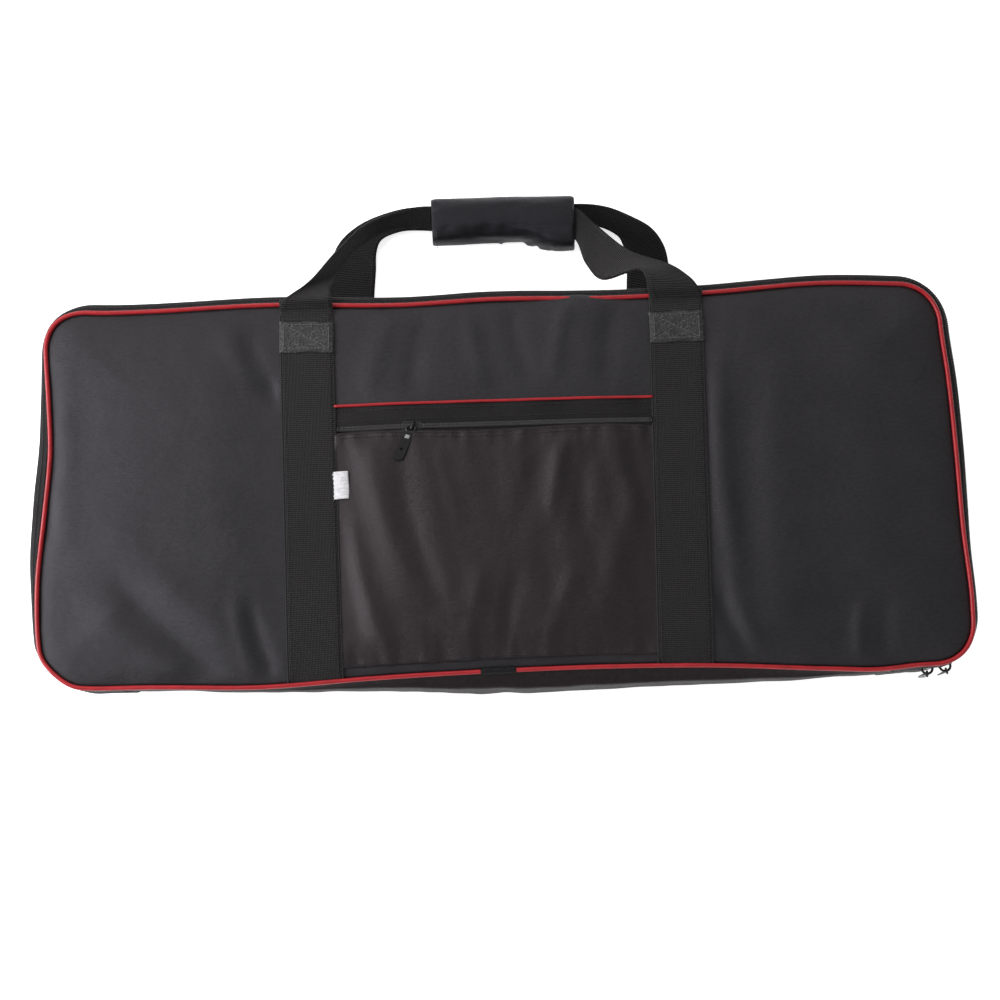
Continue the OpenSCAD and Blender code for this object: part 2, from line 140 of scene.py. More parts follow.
# How the four sides leave a straight line, as (place along the side, outward shift) in mm.
TOP_SWAY = [(-430, 0), (-330, 0), (-220, 3), (-90, -1), (0, 2), (100, 0), (200, 2), (315, 8), (380, 5),
            (430, 1)]
BOTTOM_SWAY = [(-430, 0), (-330, 0), (-220, 3), (-120, -2), (-20, -5), (100, -6), (190, -4), (290, 2),
               (335, 4), (372, 1), (430, 0)]
LEFT_SWAY = [(-190, 0), (-140, 4), (-80, 6), (-10, 1), (45, -2), (95, 1), (135, 4), (190, 1)]
RIGHT_SWAY = [(-190, 0), (-160, 1), (-120, 3), (-60, 1), (20, 1), (90, 0), (150, -3), (190, -1)]

# How far each corner is pushed out from its round, as (side of X, side of Y, mm), over this width.
CORNER_PUSH = [(-1, 1, 4.5), (-1, -1, -4.5), (1, -1, 1.5), (1, 1, 0.5)]
CORNER_PUSH_W = 26 * MM
DIAGONAL = 0.707

# How much further the foot of the shell stands in, as (place along X, mm).
FOOT_TUCK = [(-430, 8), (-380, 11), (-320, 12), (-250, 11), (-170, 7), (-80, 2), (0, 0), (100, 0), (180, 2),
             (260, 6), (330, 9), (390, 7), (430, 4)]

# How far the zip and the shell stand in along the two short sides, as (place along Y, mm).
LEFT_TUCK = [(-190, 5), (-150, 5), (-90, 3), (-40, 0), (30, 0), (90, 2), (150, 5), (190, 4)]
RIGHT_TUCK = [(-190, 3), (-150, 4), (-90, 4), (-30, 2), (60, 1), (150, 1), (190, 1)]


def sway(xyz):
    """Moves points with the soft outline, most at the edges and nothing in the middle."""
    p = np.array(xyz, float)
    x, y = p[:, 0] / MM, p[:, 1] / MM
    reach_x = smooth(250, 420, np.abs(x))
    reach_y = smooth(60, 178, np.abs(y))
    top = curve_through(TOP_SWAY, x) * reach_y * (y > 0)
    bottom = curve_through(BOTTOM_SWAY, x) * reach_y * (y < 0)
    left = curve_through(LEFT_SWAY, y) * reach_x * (x < 0)
    right = curve_through(RIGHT_SWAY, y) * reach_x * (x > 0)
    p[:, 0] += (right - left) * MM
    p[:, 1] += (top - bottom) * MM
    for sx, sy, push in CORNER_PUSH:
        to_x = x * MM - sx * (ARC_X + 0.7 * CORNER_R)
        to_y = y * MM - sy * (ARC_Y + 0.7 * CORNER_R)
        share = DIAGONAL * push * MM * bump(np.hypot(to_x, to_y), 0, CORNER_PUSH_W)
        p[:, 0] += sx * share
        p[:, 1] += sy * share
    return p


def tuck_in(xyz, share=1.0, foot=False):
    """Moves points of the zip and the shell in along the bottom seam and the short sides."""
    p = np.array(xyz, float)
    near = 1 - smooth(-132 * MM, -60 * MM, p[:, 1])
    left = smooth(360 * MM, 410 * MM, -p[:, 0]) * curve_through(LEFT_TUCK, p[:, 1] / MM)
    right = smooth(360 * MM, 410 * MM, p[:, 0]) * curve_through(RIGHT_TUCK, p[:, 1] / MM)
    p[:, 0] += (left - right) * MM * share
    p[:, 1] += TUCK * near * share
    if foot:
        low = 1 - smooth(10 * MM, 82 * MM, p[:, 2])
        p[:, 1] += curve_through(FOOT_TUCK, p[:, 0] / MM) * MM * near * low
    return p


def ring_table():
    """Points, outward normals and lengths round the piping line, from the bottom middle to +X."""
    corners = [(ARC_X, -ARC_Y, -90), (ARC_X, ARC_Y, 0), (-ARC_X, ARC_Y, 90), (-ARC_X, -ARC_Y, 180)]
    points = [(0.0, -PIPE_Y)]
    normals = [(0.0, -1.0)]
    for cx, cy, start in corners:
        for k in range(33):
            a = math.radians(start + 90 * k / 32)
            points.append((cx + CORNER_R * math.cos(a), cy + CORNER_R * math.sin(a)))
            normals.append((math.cos(a), math.sin(a)))
    points.append((0.0, -PIPE_Y))
    normals.append((0.0, -1.0))
    points, normals = np.array(points), np.array(normals)
    return points, normals, running_length(points)


RING_P, RING_N, RING_S = ring_table()
RING_L = RING_S[-1]


def ring_at(s):
    """Point and outward normal at length s round the ring."""
    s = np.asarray(s, float)
    p = np.stack([np.interp(s, RING_S, RING_P[:, k]) for k in (0, 1)], -1)
    n = np.stack([np.interp(s, RING_S, RING_N[:, k]) for k in (0, 1)], -1)
    return p, n / np.linalg.norm(n, axis=-1, keepdims=True)


def off_ring(s, u, z):
    """Points u outside the ring at the lengths s and height z, and their outward normals."""
    p, n = ring_at(s)
    line = grid_of(p[:, 0] + n[:, 0] * u, p[:, 1] + n[:, 1] * u, z)
    return line, np.concatenate([n, np.zeros((len(s), 1))], 1)


def sag_noise(s, scale, seed):
    """Smooth noise along the ring."""
    p, _ = ring_at(s)
    return field(listed(p[:, 0], p[:, 1]), scale, seed)


def swayed(points, shape):
    """Points in the soft outline, as a grid of the given shape."""
    return sway(points).reshape(shape + (3,))


# ---------------------------------------------------------------- mesh helpers


def place(name, mesh, material=None):
    """Puts a mesh in the scene as an object."""
    if material:
        mesh.materials.append(material)
    obj = bpy.data.objects.new(name, mesh)
    bpy.context.scene.collection.objects.link(obj)
    return obj


def write_map(mesh, uvs):
    """Gives a mesh the map "flat", in metres, from one place for each point."""
    layer = mesh.uv_layers.get("flat") or mesh.uv_layers.new(name="flat")
    index = np.zeros(len(mesh.loops), np.int32)
    mesh.loops.foreach_get("vertex_index", index)
    layer.data.foreach_set("uv", np.asarray(uvs, np.float32)[index].ravel())


def read_points(mesh):
    """A mesh's points as an array."""
    co = np.zeros(len(mesh.vertices) * 3)
    mesh.vertices.foreach_get("co", co)
    return co.reshape(-1, 3)


def add_object(name, verts, faces, uvs, material):
    """Smooth-shaded mesh object from lists."""
    mesh = bpy.data.meshes.new(name)
    mesh.from_pydata([tuple(v) for v in verts], [], [tuple(f) for f in faces])
    mesh.validate()
    write_map(mesh, uvs)
    mesh.polygons.foreach_set("use_smooth", [True] * len(mesh.polygons))
    return place(name, mesh, material)


def grid_faces(rows, cols, closed_rows=False, closed_cols=False):
    """Quads of a rows x cols grid of points, in reading order."""
    faces = []
    for i in range(rows if closed_rows else rows - 1):
        for j in range(cols if closed_cols else cols - 1):
            i2, j2 = (i + 1) % rows, (j + 1) % cols
            faces.append((i * cols + j, i * cols + j2, i2 * cols + j2, i2 * cols + j))
    return faces


def grid_object(name, points, uvs, material, closed_rows=False, closed_cols=False, flip=False):
    """Grid of points[rows][cols] as one mesh."""
    rows, cols = points.shape[:2]
    faces = grid_faces(rows, cols, closed_rows, closed_cols)
    if flip:
        faces = [f[::-1] for f in faces]
    return add_object(name, points.reshape(-1, 3), faces, uvs.reshape(-1, 2), material)


def apply_modifiers(obj):
    """Turns an object's modifiers into its mesh."""
    graph = bpy.context.evaluated_depsgraph_get()
    mesh = bpy.data.meshes.new_from_object(obj.evaluated_get(graph))
    obj.modifiers.clear()
    obj.data = mesh
    return obj


def thicken(obj, thickness, offset=-1.0):
    """Gives a cloth surface its thickness."""
    m = obj.modifiers.new("thickness", "SOLIDIFY")
    m.thickness = thickness
    m.offset = offset
    return apply_modifiers(obj)


def loft(name, s, profile, material, closed=False, tuck=None, flip=False):
    """Surface swept round the case: profile(s) gives arrays u, z of shape (len(s), points).

    tuck is how much each point of the profile follows the shell in along the bottom seam."""
    p, n = ring_at(s)
    u, z = profile(s)
    xyz = np.zeros(u.shape + (3,))
    xyz[..., 0] = p[:, None, 0] + u * n[:, None, 0]
    xyz[..., 1] = p[:, None, 1] + u * n[:, None, 1]
    xyz[..., 2] = z
    if tuck is not None:
        share = (np.asarray(tuck, float) + 0 * u).ravel()
        xyz = tuck_in(xyz.reshape(-1, 3), share, foot=True).reshape(xyz.shape)
    xyz = swayed(xyz.reshape(-1, 3), u.shape)
    steps = np.linalg.norm(np.diff(np.stack([u, z], -1), axis=1), axis=-1)
    along = np.concatenate([np.zeros((len(s), 1)), np.cumsum(steps, axis=1)], axis=1)
    uvs = np.stack([np.repeat(s[:, None], u.shape[1], 1), along], -1)
    return grid_object(name, xyz, uvs, material, closed_rows=closed, flip=flip)


def join(parts):
    """Several (verts, faces, uvs) lists as one."""
    verts, faces, uvs = [], [], []
    for v, f, t in parts:
        base = len(verts)
        verts.extend(v)
        faces.extend([tuple(i + base for i in face) for face in f])
        uvs.extend(t)
    return verts, faces, uvs


def tube_parts(path, radius, sides=6, closed=False, up=(0, 0, 1)):
    """Round tube along a path of points: verts, faces and uvs."""
    path = np.asarray(path, float)
    n = len(path)
    tangent = np.roll(path, -1, 0) - np.roll(path, 1, 0) if closed else np.gradient(path, axis=0)
    tangent /= np.linalg.norm(tangent, axis=1, keepdims=True) + 1e-12
    up = np.asarray(up, float) if np.ndim(up) == 2 else np.repeat([up], n, 0).astype(float)
    side = np.cross(tangent, up)
    side /= np.linalg.norm(side, axis=1, keepdims=True) + 1e-12
    over = np.cross(side, tangent)
    radius = np.broadcast_to(radius, (n,))
    a = np.arange(sides) * 2 * math.pi / sides
    ring = np.cos(a)[None, :, None] * side[:, None] + np.sin(a)[None, :, None] * over[:, None]
    verts = (path[:, None] + ring * radius[:, None, None]).reshape(-1, 3)
    faces = grid_faces(n, sides, closed_rows=closed, closed_cols=True)
    length = running_length(path)
    uvs = [(length[i], radius[i] * a[j]) for i in range(n) for j in range(sides)]
    if not closed:
        faces.append(tuple(range(sides))[::-1])
        faces.append(tuple(range((n - 1) * sides, n * sides)))
    return [tuple(v) for v in verts], faces, uvs


def stitch_parts(path, normal, stitch=3.2 * MM, gap=0.9 * MM, radius=0.32 * MM, lift=0.25 * MM):
    """Row of thread stitches lying on a surface along a path."""
    path = np.asarray(path, float)
    normal = np.broadcast_to(np.asarray(normal, float), path.shape)
    length = running_length(path)
    parts = []
    count = int(length[-1] / (stitch + gap))
    for k in range(count):
        at = k * (stitch + gap) + np.array([0, 0.18, 0.5, 0.82, 1]) * stitch
        p = np.stack([np.interp(at, length, path[:, i]) for i in range(3)], -1)
        n = np.stack([np.interp(at, length, normal[:, i]) for i in range(3)], -1)
        rise = np.array([-0.6, 0.6, 1, 0.6, -0.6])[:, None] * lift
        parts.append(tube_parts(p + n * rise, radius, sides=4, up=n))
    return join(parts)


def parts_object(name, parts, material):
    """One object from several (verts, faces, uvs)."""
    return add_object(name, *join(parts), material)


def ride(obj, body, slot, *replaced):
    """Puts a finished piece on a body, with the CAD nodes it stands for; its finish slot is not used."""
    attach(obj, body)
    if replaced:
        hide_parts(*replaced)
    return obj


# ---------------------------------------------------------------- materials


class Finish:
    """A new material, with its principled shader and metre coordinates."""

    def __init__(self, name):
        self.material = bpy.data.materials.new(name)
        self.material.use_nodes = True
        self.nodes = self.material.node_tree.nodes
        self.links = self.material.node_tree.links
        self.shader = self.nodes["Principled BSDF"]
        coords = self.nodes.new("ShaderNodeUVMap")
        coords.uv_map = "flat"
        self.uv = coords.outputs[0]

    def feed(self, socket, value):
        """Links a socket into an input, or sets the input to a plain value."""
        if hasattr(value, "node"):
            self.links.new(value, socket)
        else:
            socket.default_value = value

    def put(self, values):
        """Sets the shader's inputs by name."""
        for name, value in values.items():
            self.feed(self.shader.inputs[name], value)

    def math(self, kind, *values):
        """Math node on sockets or numbers."""
        node = self.nodes.new("ShaderNodeMath")
        node.operation = kind
        for socket, value in zip(node.inputs, values):
            self.feed(socket, value)
        return node.outputs[0]

    def total(self, first, *others):
        """First value plus each other (value, weight)."""
        for value, weight in others:
            first = self.math("ADD", first, self.math("MULTIPLY", value, weight))
        return first

    def noise(self, scale, detail=3.0, rough=0.5, stretch=(1, 1, 1)):
        """Noise from 0 to 1 with features of about 1 / scale metres."""
        mapping = self.nodes.new("ShaderNodeMapping")
        mapping.inputs["Scale"].default_value = stretch
        self.links.new(self.uv, mapping.inputs["Vector"])
        tex = self.nodes.new("ShaderNodeTexNoise")
        tex.inputs["Scale"].default_value = scale
        tex.inputs["Detail"].default_value = detail
        tex.inputs["Roughness"].default_value = rough
        self.links.new(mapping.outputs[0], tex.inputs["Vector"])
        return tex.outputs["Fac"]

    def wave(self, axis, pitch):
        """Sine from -1 to 1 along the map's axis 0 or 1, one cycle every pitch metres."""
        split = self.nodes.new("ShaderNodeSeparateXYZ")
        self.links.new(self.uv, split.inputs[0])
        return self.math("SINE", self.math("MULTIPLY", split.outputs[axis], 2 * math.pi / pitch))

    def ramp(self, value, stops):
        """Colour ramp from (place, grey or colour) stops."""
        node = self.nodes.new("ShaderNodeValToRGB")
        while len(node.color_ramp.elements) < len(stops):
            node.color_ramp.elements.new(0.5)
        for element, (at, colour) in zip(node.color_ramp.elements, stops):
            element.position = at
            element.color = (*colour, 1) if hasattr(colour, "__len__") else (colour,) * 3 + (1,)
        self.links.new(value, node.inputs[0])
        return node.outputs[0]

    def scaled(self, colour, level):
        """A colour times a level."""
        mix = self.nodes.new("ShaderNodeVectorMath")
        mix.operation = "SCALE"
        self.feed(mix.inputs[0], colour)
        self.links.new(level, mix.inputs["Scale"])
        return mix.outputs[0]

    def relief(self, *layers):
        """Adds height layers, each (socket, strength, distance), into the normal."""
        last = None
        for height, strength, distance in layers:
            node = self.nodes.new("ShaderNodeBump")
            node.inputs["Strength"].default_value = strength
            node.inputs["Distance"].default_value = distance
            self.links.new(height, node.inputs["Height"])
            if last:
                self.links.new(last, node.inputs["Normal"])
            last = node.outputs[0]
        self.links.new(last, self.shader.inputs["Normal"])


def times(colour, factor, plus=0.0):
    """A colour made lighter or darker."""
    return tuple(c * factor + plus for c in colour)


def fabric(name, colour, weave=0.7 * MM, roughness=0.5, sheen=0.25, mottle=0.25, specular=0.4,
           grain=0.35, slub=0.0, tint=(0.9, 0.86, 0.9), relief=1.0):
    """Coated woven cloth: fine weave, thread glint, faint mottling and soft creases."""
    m = Finish(name)
    tone = m.ramp(m.noise(22, 4), [(0.25, times(colour, 1 - mottle)), (0.75, times(colour, 1 + mottle))])
    thread = m.math("MULTIPLY", m.wave(0, weave), m.wave(1, weave))
    speck = m.noise(1100, 2, 0.6)
    heather = m.noise(420, 3, 0.6, stretch=(0.45, 1, 1))
    glint = m.total(m.math("MULTIPLY_ADD", thread, 0.3, 0.2), (speck, 0.5), (heather, 1.1))
    m.put({
        "Base Color": m.scaled(tone, glint),
        "Roughness": m.math("MULTIPLY_ADD", m.noise(35, 3), 0.16, roughness - 0.08),
        "Specular IOR Level": specular,
        "Specular Tint": (*tint, 1),
        "Sheen Weight": sheen,
        "Sheen Roughness": 0.45,
        "Sheen Tint": (*tint, 1),
    })
    layers = [
        (m.noise(60, 5, 0.55), 0.5, relief * MM),
        (heather, 0.7, 0.3 * relief * MM),
        (thread, grain, 0.14 * MM),
        (speck, 0.4, 0.2 * relief * MM),
    ]
    if slub:
        layers.append((m.noise(500, 2, 0.5, stretch=(0.03, 1, 1)), slub, 0.2 * MM))
    m.relief(*layers)
    return m.material


def webbing(name, colour, specular=0.22):
    """Heavy strap webbing: cross ribs broken by fine lengthwise warp lines, fuzzy and matte."""
    m = Finish(name)
    height = m.total(m.wave(1, 1.9 * MM), (m.wave(0, 1.35 * MM), 0.45))
    fuzz = m.noise(900, 3, 0.6)
    level = m.total(m.math("MULTIPLY_ADD", height, 0.34, 0.62), (fuzz, 0.5), (m.noise(30, 4), 0.25))
    m.put({
        "Base Color": m.scaled(colour, level),
        "Roughness": 0.78,
        "Specular IOR Level": specular,
        "Sheen Weight": 0.12,
        "Sheen Roughness": 0.5,
        "Sheen Tint": (0.8, 0.76, 0.74, 1),
    })
    m.relief((height, 1.0, 0.5 * MM), (fuzz, 0.6, 0.3 * MM))
    return m.material


def leatherette(name, colour):
    """Pebbled leatherette, paler where the pebbles are worn."""
    m = Finish(name)
    cells = m.nodes.new("ShaderNodeTexVoronoi")
    cells.inputs["Scale"].default_value = 620
    m.links.new(m.uv, cells.inputs["Vector"])
    coarse = m.noise(330, 4, 0.65)
    tone = m.math("SUBTRACT", coarse, m.math("MULTIPLY", cells.outputs[0], 0.35))
    shades = [(0.22, times(colour, 0.3)), (0.4, colour), (0.6, times(colour, 3.2))]
    m.put({"Base Color": m.ramp(tone, shades), "Roughness": 0.62, "Specular IOR Level": 0.45})
    m.relief((coarse, 1.0, 0.8 * MM), (cells.outputs[0], 0.7, 0.4 * MM))
    return m.material


def corded(name, colour, gloss):
    """Vinyl or cloth covered cord, slightly scuffed along its crown."""
    m = Finish(name)
    scuff = m.noise(260, 4, 0.6, stretch=(0.3, 1, 1))
    shades = [(0.3, times(colour, 0.72)), (0.55, colour), (0.85, times(colour, 1.2, 0.012))]
    m.put({
        "Base Color": m.ramp(scuff, shades),
        "Roughness": m.math("MULTIPLY_ADD", scuff, 0.3, gloss),
        "Specular IOR Level": 0.38,
        "Coat Weight": 0.08,
        "Coat Roughness": 0.3,
    })
    m.relief((scuff, 0.3, 0.25 * MM), (m.wave(0, 1.1 * MM), 0.12, 0.1 * MM))
    return m.material


def enamel(name, colour, metallic, roughness, worn):
    """Enamelled or bare metal with fine scratches, bare on the worn spots."""
    m = Finish(name)
    scratch = m.noise(900, 5, 0.65, stretch=(1, 0.15, 1))
    m.put({
        "Base Color": m.ramp(scratch, [(0.3, colour), (0.68, times(colour, 1.3)), (0.8, worn)]),
        "Metallic": metallic,
        "Roughness": m.math("MULTIPLY_ADD", scratch, 0.2, roughness),
    })
    m.relief((scratch, 0.15, 0.1 * MM))
    return m.material


def plain_floor(name):
    """Pale studio floor that glows a little, with a very faint grain."""
    m = Finish(name)
    m.put({
        "Base Color": m.ramp(m.noise(4, 4), [(0.3, 0.93), (0.7, 0.96)]),
        "Roughness": 0.9,
        "Specular IOR Level": 0.1,
        "Emission Color": (1, 1, 1, 1),
        "Emission Strength": 0.72,
    })
    return m.material


SHELL = fabric("shell_cloth", (0.0132, 0.0124, 0.0134), roughness=0.42, sheen=0.06, specular=0.3,
               mottle=0.18, tint=(0.95, 0.91, 0.98))
WALL = fabric("wall_cloth", (0.016, 0.0132, 0.014), roughness=0.55, sheen=0.0, specular=0.12, slub=0.25,
              mottle=0.16, tint=(1.0, 0.86, 0.88))
POCKET = fabric("pocket_cloth", (0.0115, 0.0094, 0.0100), weave=0.6 * MM, roughness=0.36, sheen=0.04,
                specular=0.3, mottle=0.14, tint=(1.0, 0.9, 0.93))
LINING = fabric("lining_cloth", (0.06, 0.061, 0.07), weave=0.4 * MM, roughness=0.42, sheen=0.2)
WRAP = fabric("wrap_cloth", (0.0078, 0.0076, 0.0094), weave=0.5 * MM, roughness=0.4, sheen=0.04,
              specular=0.22, mottle=0.1, tint=(0.95, 0.92, 1.0))
TAPE = fabric("zip_tape_cloth", (0.0095, 0.0088, 0.0086), weave=1.1 * MM, roughness=0.75, sheen=0.05,
              specular=0.2)
BINDING = fabric("binding_cloth", (0.0055, 0.0055, 0.006), weave=0.9 * MM, roughness=0.7, sheen=0.05,
                 specular=0.2)
LABEL = fabric("label_cloth", (0.62, 0.61, 0.62), weave=0.35 * MM, roughness=0.5, sheen=0.1, mottle=0.03,
               relief=0.15)
FOAM = fabric("foam_sheet", (0.25, 0.26, 0.27), weave=1.6 * MM, roughness=0.85, sheen=0.0, specular=0.2)
HOOK = fabric("hook_loop_tape", (0.009, 0.009, 0.0095), weave=1.5 * MM, roughness=0.9, sheen=0.25,
              grain=0.9)
WEB = webbing("strap_webbing", (0.0125, 0.0114, 0.0118))
# The handle legs are the same webbing as the straps, painted darker and less glossy here: painted shade, not
# a darker webbing.
SHADED_HANDLE_WEB = webbing("handle_webbing_painted_shade", (0.0085, 0.0077, 0.0080), specular=0.12)
PATCH = leatherette("patch_leatherette", (0.027, 0.0255, 0.0262))
PIPING = corded("piping_cord", (0.34, 0.005, 0.010), 0.3)
SEAM_CORD = corded("seam_cord", (0.008, 0.008, 0.0085), 0.4)
COIL = enamel("zip_coil_nylon", (0.035, 0.033, 0.034), 0.0, 0.3, (0.06, 0.058, 0.06))
METAL = enamel("slider_enamel", (0.008, 0.008, 0.009), 0.3, 0.22, (0.08, 0.08, 0.08))
STEEL = enamel("stop_steel", (0.3, 0.3, 0.31), 0.9, 0.35, (0.5, 0.5, 0.5))
THREAD = fabric("black_thread", (0.009, 0.0085, 0.009), weave=0.5 * MM, roughness=0.6, sheen=0.1)
GREY_THREAD = fabric("grey_thread", (0.10, 0.097, 0.097), weave=0.5 * MM, roughness=0.6, sheen=0.1)


def sew(name, rows, body, slot, thread=THREAD):
    """Puts rows of stitches on a body."""
    ride(parts_object(name, rows, thread), body, slot)


# ---------------------------------------------------------------- front panel cloth


def rounded_grid(u, step):
    """Grid of points over the case's outline u outside the piping line, with round corners."""
    half_x, half_y, r = PIPE_X + u, PIPE_Y + u, CORNER_R + u
    nx, ny = int(2 * half_x / step), int(2 * half_y / step)
    x = np.linspace(-half_x, half_x, nx + 1)[None, :].repeat(ny + 1, 0)
    y = np.linspace(-half_y, half_y, ny + 1)[:, None].repeat(nx + 1, 1)
    a = np.clip((np.abs(x) - (half_x - r)) / r, 0, 1)
    b = np.clip((np.abs(y) - (half_y - r)) / r, 0, 1)
    big = np.maximum(a, b)
    angle = np.where(a >= b, b / np.maximum(a, 1e-9), 2 - a / np.maximum(b, 1e-9)) * math.pi / 4
    corner = (a > 0) & (b > 0)
    x = np.where(corner, np.sign(x) * (half_x - r + r * big * np.cos(angle)), x)
    y = np.where(corner, np.sign(y) * (half_y - r + r * big * np.sin(angle)), y)
    return x, y


def edge_distance(x, y, u=0.0):
    """Distance inside the outline that is u outside the piping line."""
    qx = np.abs(x) - (PIPE_X + u - (CORNER_R + u))
    qy = np.abs(y) - (PIPE_Y + u - (CORNER_R + u))
    outside = np.hypot(np.maximum(qx, 0), np.maximum(qy, 0))
    return CORNER_R + u - outside - np.minimum(np.maximum(qx, qy), 0)


def strap_middle(ends, y):
    """X of a leaning strap's middle at height y."""
    return ends[1] + (ends[0] - ends[1]) * (np.asarray(y) + PIPE_Y) / (2 * PIPE_Y)


def strap_distance(x, y):
    """Distance from the middle of the nearer front strap."""
    return np.minimum(np.abs(x - strap_middle(LEFT_STRAP, y)), np.abs(x - strap_middle(RIGHT_STRAP, y)))


def panel_height(x, y):
    """Height of the padded front cloth: pillows between the straps, folds and dents."""
    e = edge_distance(x, y)
    rim = 1 - np.exp(-np.maximum(e, 0) / (11 * MM))
    pillow = smooth(20 * MM, 95 * MM, strap_distance(x, y)) * smooth(0, 90 * MM, e)
    z = TOP_Z - 4 * MM + 4.2 * MM * rim + 3.2 * MM * pillow
    z += 1.5 * MM * bump(x, 0.245, 0.035) * smooth(0.0, 0.05, e)
    z -= 1.6 * MM * bump(x, 0.3, 0.05) * smooth(0.0, 0.06, e)
    return z


def panel_folds(x, y):
    """Soft folds added to the front cloth away from the straps and seams."""
    p = listed(x, y)
    broad = field(p, 0.12, 3).reshape(x.shape)
    slant = listed(x * 0.85 + y * 0.5, (y * 0.85 - x * 0.5) * 0.35)
    folds = field(slant, 0.035, 8).reshape(x.shape)
    e = edge_distance(x, y)
    calm = smooth(0.0, 30 * MM, e)
    lower_left = bump(x, -0.33, 0.12) * bump(y, -0.11, 0.09)
    upper_mid = bump(x, 0.0, 0.16) * bump(y, 0.12, 0.06)
    near_rim = np.exp(-np.maximum(e, 0) / (22 * MM)) * smooth(0, 8 * MM, e)
    puckers = field(p, 0.022, 5).reshape(x.shape)
    return (
        1.1 * MM * broad * calm
        + folds * calm * (0.25 * MM + 0.8 * MM * lower_left + 0.9 * MM * upper_mid)
        + 0.9 * MM * puckers * near_rim
    )


# Long soft folds of the front cloth: two ends in mm, half width in mm and height in mm.
LONG_FOLDS = [
    ((-345, -88), (-258, -166), 13, -3.4),
    ((-318, -70), (-236, -150), 16, 2.2),
    ((-366, -110), (-290, -172), 14, 1.8),
    ((-236, 142), (-206, 84), 10, -2.4),
    ((-262, 164), (-222, 104), 13, 1.8),
    ((-232, -110), (-210, -172), 7, -2.0),
    ((-246, -100), (-228, -170), 7, 1.4),
    ((-402, 120), (-398, -60), 14, 0.9),
    ((208, 110), (212, -90), 10, 2.8),
    ((240, 100), (232, -110), 15, -1.8),
    ((322, -122), (318, -170), 7, 2.2),
    ((344, -120), (342, -168), 8, -1.6),
    ((192, -110), (216, -164), 8, -2.2),
    ((206, -90), (228, -160), 8, 1.5),
    ((-100, 168), (-122, 92), 12, 1.5),
    ((-66, 168), (-82, 92), 10, -1.8),
    ((-26, 166), (-14, 96), 9, 1.7),
    ((14, 170), (28, 100), 9, -1.5),
    ((66, 170), (52, 104), 8, 1.6),
    ((112, 164), (100, 96), 11, -1.6),
]


def ridge(x, y, start, end, width, height):
    """Height of one soft fold, fading towards its two ends."""
    ax, ay = start[0] * MM, start[1] * MM
    dx, dy = end[0] * MM - ax, end[1] * MM - ay
    length = math.hypot(dx, dy)
    along = ((x - ax) * dx + (y - ay) * dy) / length**2
    bend = 0.12 * length * (along * (1 - along))
    across = ((x - ax) * dy - (y - ay) * dx) / length - bend
    fade = smooth(-0.25, 0.25, along) * (1 - smooth(0.75, 1.25, along))
    return height * MM * np.exp(-((across / (width * MM)) ** 2)) * fade


def front_cloth(x, y):
    """Final height of the front cloth, which everything sewn on it follows."""
    z = panel_height(x, y) + panel_folds(x, y)
    calm = smooth(2 * MM, 16 * MM, edge_distance(x, y))
    calm = calm * smooth(23 * MM, 34 * MM, strap_distance(x, y))
    for fold in LONG_FOLDS:
        z = z + ridge(x, y, *fold) * calm
    return z


def top_fold(x, y):
    """The cloth that slumps over the piping near the middle of the top edge."""
    return bump(x, 0.078, 0.032) * smooth(PIPE_Y - 0.05, PIPE_Y - 0.004, y)


def front_panel():
    """Outer cloth of the lid."""
    x, y = rounded_grid(-1.2 * MM, 3.4 * MM)
    z = front_cloth(x, y)
    slump = top_fold(x, y)
    xyz = swayed(listed(x, y + 4.2 * MM * slump, z + 3.0 * MM * slump), x.shape)
    obj = grid_object("front_cloth", xyz, grid_of(x, y), SHELL)
    thicken(obj, 1.2 * MM)
    ride(obj, "lid", "shell_fabric", "front_panel")


def front_rim():
    """Edge of the front cloth, turned down under the piping."""
    s = np.linspace(0, RING_L, 700)[:-1]

    def profile(s):
        u = np.repeat([[-1.6 * MM, -1.2 * MM, -1.4 * MM, -1.8 * MM]], len(s), 0)
        z = np.repeat([[PIPE_Z + 0.8 * MM, PIPE_Z - 2 * MM, PIPE_Z - 5 * MM, LINING_Z]], len(s), 0)
        return u, z

    obj = loft("front_rim_cloth", s, profile, SHELL, closed=True, flip=True)
    thicken(obj, 0.8 * MM)
    ride(obj, "lid", "shell_fabric")


def piping():
    """Red covered cord round the front panel."""
    s = np.linspace(0, RING_L, 900)[:-1]
    path = sway(off_ring(s, 0, PIPE_Z + 0.5 * MM * sag_noise(s, 0.05, 2))[0])
    r = PIPE_R * (1.02 + 0.04 * field(path, 0.02, 4))
    obj = parts_object("red_piping", [tube_parts(path, r, sides=12, closed=True)], PIPING)
    ride(obj, "lid", "piping", "front_piping")


def binding():
    """Black woven tape wrapped over the joint of the piping."""
    lo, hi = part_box("piping_binding")
    x = np.linspace(lo.x, hi.x, 24)
    path = sway(grid_of(x, -PIPE_Y, PIPE_Z))
    t = np.linspace(-1, 1, 24)
    r = (PIPE_R + 0.7 * MM) * (1 + 0.05 * np.cos(9 * t) - 0.25 * np.abs(t) ** 8)
    parts = [tube_parts(path, r, sides=16)]
    for k in (-1, 1):
        edge = path + np.array([0, 1.6 * MM * k, PIPE_R])
        parts.append(stitch_parts(edge, (0, 0, 1), 2.4 * MM, 0.8 * MM))
    obj = parts_object("piping_joint_binding", parts, BINDING)
    ride(obj, "lid", "binding", "piping_binding")


front_panel()
front_rim()
piping()
binding()


# ---------------------------------------------------------------- straps, patches, pocket


def on_cloth(x, y, lift):
    """Points lying on the front cloth, lifted by lift, in the swayed outline."""
    x, y = np.broadcast_arrays(np.asarray(x, float), np.asarray(y, float))
    return swayed(listed(x, y, front_cloth(x, y) + lift), x.shape)


